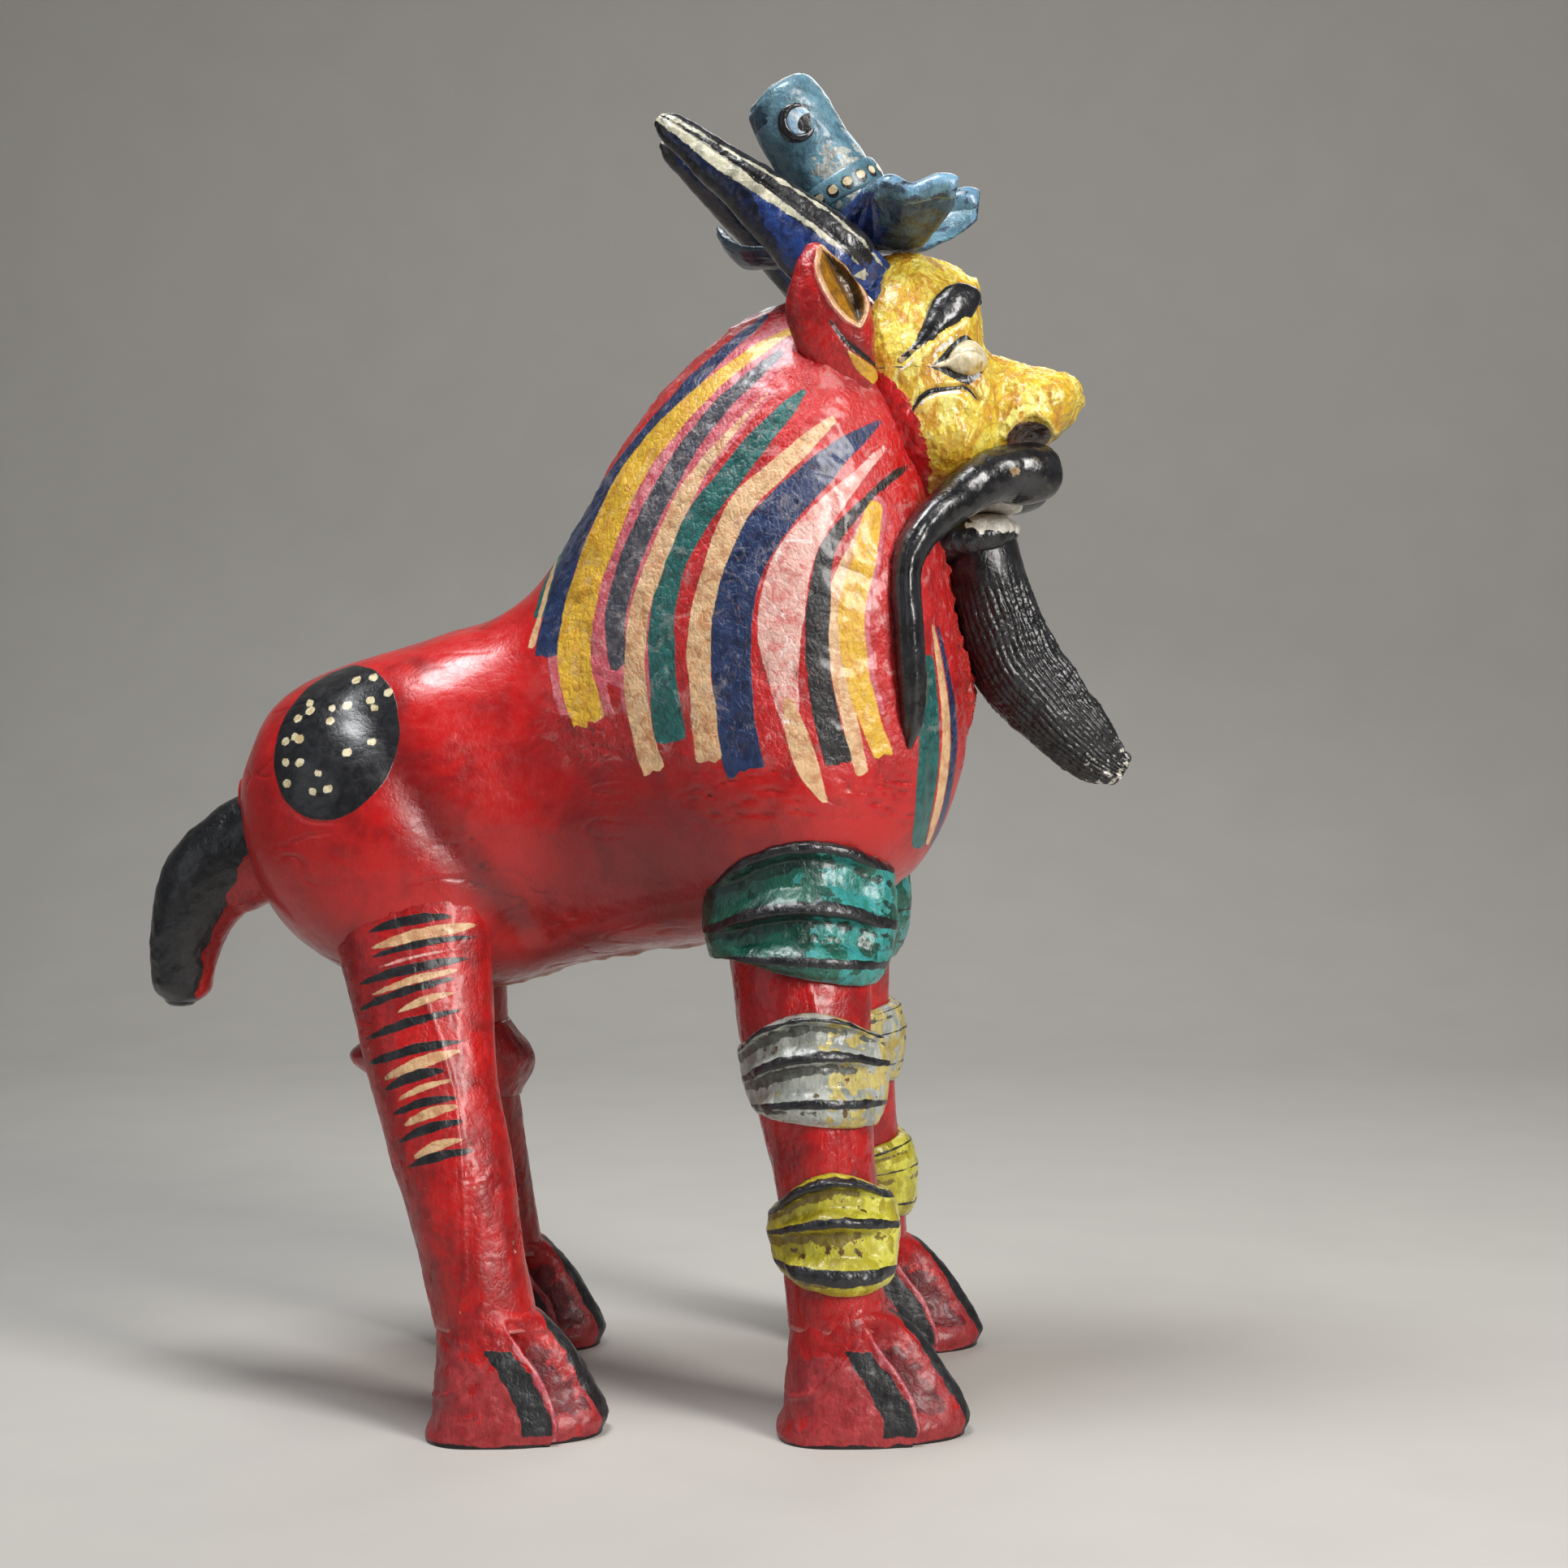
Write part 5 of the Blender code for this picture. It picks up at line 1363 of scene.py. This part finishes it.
def make_band(name, table, side, material, slot, edges, ridges, lips, seed, scoop=0.08):
    """A fluted relief ring, as its row in RELIEF says; it thins out between the ridges."""
    columns, steps = 320, 15
    dense = eased(table)
    order = np.argsort(dense[:, 2])
    turns = around(columns)
    outward, ahead = np.sin(turns), np.cos(turns)
    top, bottom = edges
    rows, shaded = [], [0.0] * steps
    for t in np.arange(steps) / steps:
        thick = 0.4 + (ridges[0][3] - 0.4) * math.sin(0.5 * math.pi * t) ** 0.7
        rows.append(blend(top, ridges[0], t) + [thick])
    for first, second in zip(ridges, ridges[1:]):
        for k in range(steps * 2):
            t = k / (steps * 2)
            fall = 1 - smooth(0.05, 0.30, t)
            rise = smooth(0.42, 1.0, t) ** 1.2
            thick = scoop * first[3] + first[3] * (1 - scoop) * fall + second[3] * (1 - scoop) * rise
            thick = max(thick, 2.3)  # the leg never shows through
            shaded.append(float(bump(t - 0.27, 0.24)))
            rows.append(blend(first[:3], second[:3], t) + [thick])
    for k in range(steps + 1):
        t = k / steps
        thick = 0.4 + (ridges[-1][3] - 0.4) * math.cos(0.5 * math.pi * t) ** 0.7
        rows.append(blend(ridges[-1][:3], bottom, t) + [thick])
        shaded.append(0.7 * float(bump(t - 0.35, 0.3)))
    count = len(rows)
    shaded += [0.0] * 11
    for k in range(1, 12):
        rows.append(blend(bottom, top, k / 12) + [-1.2])
    back, front, inside = lips
    edge = smooth(0.66, 0.95, np.abs(ahead))
    edge = np.where(outward < 0, 1.0, edge)
    rim = inside + (np.where(ahead < 0, back, front) - inside) * np.abs(ahead) ** 2.2
    rings, black, scoops = [], [], []
    for k, (z, droop, tilt, thick) in enumerate(rows):
        bow = np.where(outward > 0, ahead ** 2, 1 + 0.25 * (1 - ahead ** 2))
        level = z - droop * bow + tilt * ahead
        at = [np.interp(level, dense[order, 2], dense[order, j]) for j in (0, 1, 3, 4)]
        if thick > 0:
            arch = math.sin(math.pi * min(k, count - 1) / (count - 1)) ** (0.5 if len(ridges) > 1 else 1.3)
            flute = thick * (0.35 + 0.65 * np.clip(outward, 0, 1) ** 0.5)
            grown = flute + (rim * arch + 0.3 - flute) * edge
            grown = grown + 0.07 * thick * edge * bump(outward - 0.2, 0.4)
        else:
            grown = np.full(columns, thick)
        x, y = at[0] + (at[2] + grown) * ahead, at[1] + (at[3] + grown) * outward
        rings.append(np.stack((x, y * side, level), axis=1))
        best = np.full(columns, -5.0)
        for line in ridges:
            if line[4] > 0 and thick > 0:
                taper = 0.2 + 0.8 * np.clip(0.25 + outward, 0, 1) ** 0.6
                best = np.maximum(best, line[4] * taper - np.abs(z - line[0]))
        black.append(best)
        thin = 1 - smooth(0.15, 0.6, thick / ridges[0][3])
        scoops.append(thin * (thick > 0) * (1 - edge))
    skin = Skin(np.stack(rings), joined=True)
    middle = np.stack((
        np.interp(skin.z, dense[order, 2], dense[order, 0]),
        np.interp(skin.z, dense[order, 2], dense[order, 1]) * side,
        skin.z,
    ), axis=2)
    skin.centres = middle
    p = skin.points
    skin.swell(0.55 * noise(p, 11, seed, 2) + 0.3 * noise(p, 3.6, seed + 1, 2))
    skin.points = skin.points + 0.4 * (spread_out(skin.points) - skin.points)
    skin.marks["black"] = np.array(black) + 0.5 * noise(p, 6, seed + 2, 2)
    # Painted highlight on the front of the flutes where the light falls, painted shade just under each ridge, and
    # stain with painted shade in the flutes' thin hollows
    front = smooth(-8, 20, skin.x - middle[..., 0])
    hollow = np.array(scoops)
    skin.marks["light"] = front * (3.2 + 2.4 * hollow) - 2.7 + 3.0 * noise(p, 9, seed + 3, 3)
    skin.marks["shade"] = np.array(shaded)[:, None] * 3.4 - 1.8 - 1.6 * front + 1.2 * noise(p, 7, seed + 6, 3)
    skin.marks["stain_and_shade"] = hollow * 1.6 - 2.6 + 2.4 * noise(p, 5, seed + 4, 3)
    skin.marks["hollow"] = skin.hollows(5)
    skin.build(f"{name}_relief", material, slot, name)


def make_paw(name, ankle, heel, length, side, material, seed):
    """A flat-soled foot with three ridged toes that fan out from the ankle."""
    ankle_x, ankle_y = ankle
    rows, columns = 130, 360
    turns = np.linspace(-math.pi, math.pi, columns + 1)[:-1]
    ca, sa = np.cos(turns), np.sin(turns)
    top_r, side_reach = 17.2, 28.0
    front_reach, back_reach = heel + length - ankle_x, ankle_x - heel
    # Sole outline: quarters of superellipses, broad in front
    reach = np.where(ca > 0, front_reach, back_reach)
    power = np.where(ca > 0, 2.35, 2.8)
    sole_r = 1 / ((np.abs(ca) / reach) ** power + (np.abs(sa) / side_reach) ** power) ** (1 / power)
    fan = np.clip(ca, 0, 1)
    back = np.clip(-ca, 0, 1)
    # The side view of each radius: bulging in front, nearly straight at the side, hollow behind
    bulge = 1.12 + 0.26 * fan ** 0.9 - 0.30 * back
    top_z = 51.0 - 3.0 * back - 3.5 * fan

    def spread(t):
        """Angle of the outer toes' crests, from the ankle to the sole."""
        return math.radians(62) + math.radians(38 - 62) * smooth(0, 0.85, t)

    out = []
    for t in np.linspace(0, 1, rows):
        u = t ** 0.9
        z = top_z * (1 - u ** bulge) ** (1 / bulge)
        r = top_r + (sole_r - top_r) * u
        # A wedge-shaped groove on each side of the middle toe, steep at the outer toe
        phase = np.abs(turns) / spread(t)
        groove = smooth(0.02, 0.8, phase) * smooth(1.0, 0.88, phase)
        depth = 8.5 * smooth(0.1, 0.36, t) * (1 - 0.75 * smooth(0.72, 1.0, t))
        valley = groove * depth
        crest = bump(phase - 1.03, 0.10) * smooth(0.1, 0.35, t) * 0.9
        r = r - valley + crest
        z = z - 0.35 * valley * smooth(1.0, 0.8, t)
        out.append(np.stack((ankle_x + r * ca, (ankle_y + r * sa) * side, np.clip(z, 0, None)), axis=1))
    stack = np.stack(out)
    even = np.stack([evenly(stack[:, k], rows) for k in range(columns)], axis=1)
    centre = np.array((ankle_x + 6, ankle_y * side, 0.0))
    sole = [centre + (even[-1] * (1, 1, 0) - centre) * share for share in (0.985, 0.95, 0.8, 0.55, 0.3, 0.1)]
    skin = Skin(np.concatenate((even, np.stack(sole))))
    skin.centres = np.broadcast_to(np.array((ankle_x, ankle_y * side, 16.0)), skin.points.shape)
    p = skin.points
    free = smooth(0.5, 6.0, p[..., 2]) * smooth(50, 42, p[..., 2])
    dx, dy = p[..., 0] - ankle_x, p[..., 1] * side - ankle_y
    # A fold of paper runs round the outer side, from the heel up to the instep
    fold = ridge(dx, p[..., 2], 1.5, (-17, 16), (-8, 20), (0, 28), (8, 37))
    skin.swell(free * (0.7 * noise(p, 14, seed, 2) + 0.28 * noise(p, 4.5, seed + 1, 2)
                       + 1.2 * fold * smooth(0, 8, dy)))
    flare = bump(p[..., 2] - 2, 4) * smooth(-8, -18, dx)
    skin.shift(x=-1.8 * flare)
    # The toes' ends are rounded under
    tuck = smooth(10, 0, skin.points[..., 2]) ** 2 * smooth(10, 30, dx)
    skin.shift(x=-4.0 * tuck)
    skin.points[..., 2] = np.maximum(skin.points[..., 2], 0.0)
    skin.points[rows:, :, 2] = 0.0
    # Black paint on the middle toe's crest and just behind each outer toe's crest
    dx, dy = skin.x - ankle_x, skin.y * side - ankle_y
    angle, radius = np.abs(np.arctan2(dy, dx)), np.hypot(dx, dy)
    run = np.clip(np.arange(skin.points.shape[0]) / rows, 0, 1)[:, None] * np.ones((1, columns))
    step = spread(run)
    crest_half = np.interp(run, (0.05, 0.2, 0.5, 0.85, 1.0), (1.5, 5.0, 7.4, 8.4, 7.8))
    middle_toe = np.minimum(crest_half - angle * radius, (run - 0.05) * 60)
    band_half = np.interp(run, (0.28, 0.34, 0.6, 0.9, 1.0), (4.2, 4.6, 4.0, 4.6, 4.2))
    outer = band_half - np.abs((angle - step) * radius - 1.4 - band_half)
    outer = np.minimum(np.minimum(outer, (run - 0.31) * 60), (skin.z - 4.0) * 0.8)
    skin.marks["black"] = np.maximum(middle_toe, outer) + 0.6 * noise(p, 6, seed + 3, 2)
    skin.marks["soot"] = 1.2 - skin.z + 0.8 * noise(p, 7, seed + 4, 2)
    # Painted shade: maroon in the grooves beside the middle toe; a painted highlight of pink along each outer
    # toe's crest
    phase = angle / step
    groove = smooth(0.22, 0.5, phase) * smooth(1.0, 0.93, phase)
    groove *= smooth(0.2, 0.34, run) * smooth(0.86, 0.74, run)
    skin.marks["deep"] = groove * 3.4 - 2.2 + 1.2 * noise(p, 5, seed + 6, 3)
    crease = 1.2 - np.abs((angle - step) * radius + 0.6) - 3 * smooth(0.3, 0.2, run)
    skin.marks["crease"] = crease + 0.8 * noise(p, 4, seed + 8, 2)
    skin.marks["pinkish"] = 2.2 * smooth(44, 20, skin.z) - 1.1 + 1.5 * noise(p, 10, seed + 7, 3)
    skin.marks["hollow"] = skin.hollows(4)
    skin.build(f"{name}_skin", material, "scarlet_paint", name)


def make_tail(material):
    skin = tube_form(TAIL, 150, 150, ends=(1.0, 2.0))
    p = skin.points
    skin.swell(0.9 * noise(p, 20, 161, 2) + 0.3 * noise(p, 5, 162, 2))
    # Black outside, scarlet inside the hook
    line = np.interp(skin.z, (156, 175, 191, 215, 222), (-180, -177, -168.7, -158, -140))
    skin.marks["black"] = (line - skin.x) * 0.8 + 1.4 * noise(p, 9, 163, 2)
    skin.build("tail_hook", material, "black_paint", "tail")


def make_cores():
    """Materials for what is inside the paper: canes, wires and crumpled filling."""
    wood, wire, filling = Graph("split_cane"), Graph("drawn_wire"), Graph("crumpled_paper")
    grain = wood.noise(1.2, 5.0, 0.6, place=wood.stretched(1.0, 1.0, 0.06))
    spots = wire.noise(2.0, 5.0, 0.65)
    fibre = filling.noise(0.8, 4.0, 0.6)
    for g, value, low, high, light, dark in (
        (wood, grain, 0.35, 0.7, (186, 146, 84), (128, 88, 42)),
        (wire, spots, 0.5, 0.7, (150, 150, 152), (96, 66, 46)),
        (filling, fibre, 0.3, 0.7, (184, 164, 130), (150, 128, 96)),
    ):
        colour = g.mix(g.span(value, low, high), linear(*light), linear(*dark))
        g.feed(g.shader.inputs["Base Color"], colour)
    wood.feed(wood.shader.inputs["Roughness"], wood.span(grain, 0.3, 0.8, 0.5, 0.75))
    wire.feed(wire.shader.inputs["Roughness"], wire.span(spots, 0.4, 0.8, 0.3, 0.7))
    wire.shader.inputs["Metallic"].default_value = 1.0
    filling.shader.inputs["Roughness"].default_value = 0.85
    filling.relief(filling.cells(11.0), reach=3.0)
    kinds = {"paper_core": filling, "spine_wire": wire}
    for word in SIDES:
        kinds[f"horn_wire_{word}"] = wire
        kinds[f"front_leg_cane_{word}"] = kinds[f"hind_leg_cane_{word}"] = wood
    for name, graph in kinds.items():
        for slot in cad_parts[name].material_slots:
            slot.material = graph.material


# ---------------------------------------------------------------- stage

def make_stage():
    """A pale floor that curves up into a backdrop."""
    columns, reach, front, back, radius = 24, 2.6, -2.2, 1.0, 0.8  # metres
    profile = [(front, 0.0), (-1.0, 0.0), (0.0, 0.0), (back, 0.0)]
    for k in range(1, 13):
        turn = 0.5 * math.pi * k / 12
        profile.append((back + radius * math.sin(turn), radius * (1 - math.cos(turn))))
    profile.append((back + radius, 3.2))
    verts = [(reach * (2 * i / columns - 1), y, z) for y, z in profile for i in range(columns + 1)]
    faces = []
    for j in range(len(profile) - 1):
        for i in range(columns):
            a = j * (columns + 1) + i
            faces.append((a, a + 1, a + columns + 2, a + columns + 1))
    mesh = bpy.data.meshes.new("studio_floor")
    mesh.from_pydata(verts, [], faces)
    mesh.shade_smooth()
    g = Graph("pale_floor")
    pale = g.mix(g.noise(60.0, 3.0, 0.5), linear(190, 187, 181), linear(182, 179, 174))
    g.feed(g.shader.inputs["Base Color"], pale)
    g.shader.inputs["Roughness"].default_value = 0.7
    mesh.materials.append(g.material)
    floor = bpy.data.objects.new("studio_floor", mesh)
    bpy.context.scene.collection.objects.link(floor)


def aim(obj, target):
    obj.rotation_euler = (Vector(target) - obj.location).to_track_quat("-Z", "Y").to_euler()


def make_light(name, place, target, size, power, colour=(1, 1, 1)):
    light = bpy.data.lights.new(name, "AREA")
    light.shape = "RECTANGLE"
    light.size, light.size_y = size
    light.energy = power
    light.color = colour
    obj = bpy.data.objects.new(name, light)
    bpy.context.scene.collection.objects.link(obj)
    obj.location = place
    aim(obj, target)


def make_camera():
    camera = bpy.data.cameras.new("photo_view")
    camera.lens = 62.5
    camera.sensor_width = 36.0
    obj = bpy.data.objects.new("photo_view", camera)
    bpy.context.scene.collection.objects.link(obj)
    obj.location = (0.0564, -1.1, 0.27)
    obj.rotation_euler = (math.radians(90 - 1.38), 0, 0)
    bpy.context.scene.camera = obj


def make_studio():
    low, high = CAD_BOUNDS
    middle = (Vector(low) + Vector(high)) / 2
    make_light("key", (1.0, -1.0, 1.0), middle, (0.4, 0.95), 26, (1.0, 0.97, 0.93))
    make_light("overhead", (-0.2, -0.15, 1.35), middle, (0.5, 0.4), 12, (0.96, 0.98, 1.0))
    make_light("fill", (-1.3, -0.9, 0.7), middle, (1.0, 0.9), 1.6, (0.92, 0.96, 1.0))
    make_light("rear", (0.2, 1.2, 1.1), middle, (0.9, 0.6), 4)
    world = bpy.data.worlds.new("studio_air")
    bpy.context.scene.world = world
    world.use_nodes = True
    background = world.node_tree.nodes["Background"]
    background.inputs["Color"].default_value = (0.8, 0.84, 0.9, 1)
    background.inputs["Strength"].default_value = 0.11
    view = bpy.context.scene.view_settings
    view.view_transform = "Standard"


def make_side(word, side, front, hind, seed):
    """One front and one hind leg with their relief rings and paws."""
    make_leg(f"front_leg_{word}", front, side, painted("scarlet_leg"), False, seed)
    make_leg(f"hind_leg_{word}", hind, side, painted("scarlet_leg_marked"), True, seed + 10)
    for k, kind in enumerate(("teal", "cream", "yellow")):
        make_band(f"{kind}_band_{word}", front, side, painted(f"{kind}_relief"), f"{kind}_paint",
                  *RELIEF[kind], seed + 20 + 5 * k)
    if side == LEFT:
        make_band("hind_knee_band", hind, side, painted("scarlet_knee"), "scarlet_paint",
                  *RELIEF["knee"], seed + 40)
    for leg, table in (("front", front), ("hind", hind)):
        low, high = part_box(f"{leg}_paw_{word}")
        stations = eased(table)
        ankle_x = np.interp(-45.3, -stations[:, 2], stations[:, 0])
        make_paw(f"{leg}_paw_{word}", (ankle_x, 73.0), low.x / MM, (high.x - low.x) / MM, side,
                 painted("scarlet_paw"), seed + 60)


make_camera()
make_studio()
make_stage()
make_body()
make_face()
make_brows(painted("black_varnish"))
make_moustaches(painted("black_varnish"))
make_beard(painted("black_varnish_chipped"))
make_mouth(painted("black_varnish_chipped"), painted("white_varnish"))
make_eyes(painted("eye_ivory"))
make_horns(painted("horn_paint"))
make_ears(painted("ear_paint"))
make_hat(painted("hat_paint"), painted("hat_band_paint"))
make_crescents(painted("black_varnish_plain"))
make_brim(painted("hat_brim_paint"))
make_side("right", RIGHT, FRONT_LEG, HIND_LEG, 200)
make_side("left", LEFT, staggered(FRONT_LEG, FRONT_STAGGER), staggered(HIND_LEG, HIND_STAGGER), 300)
make_tail(painted("tail_paint"))
make_cores()
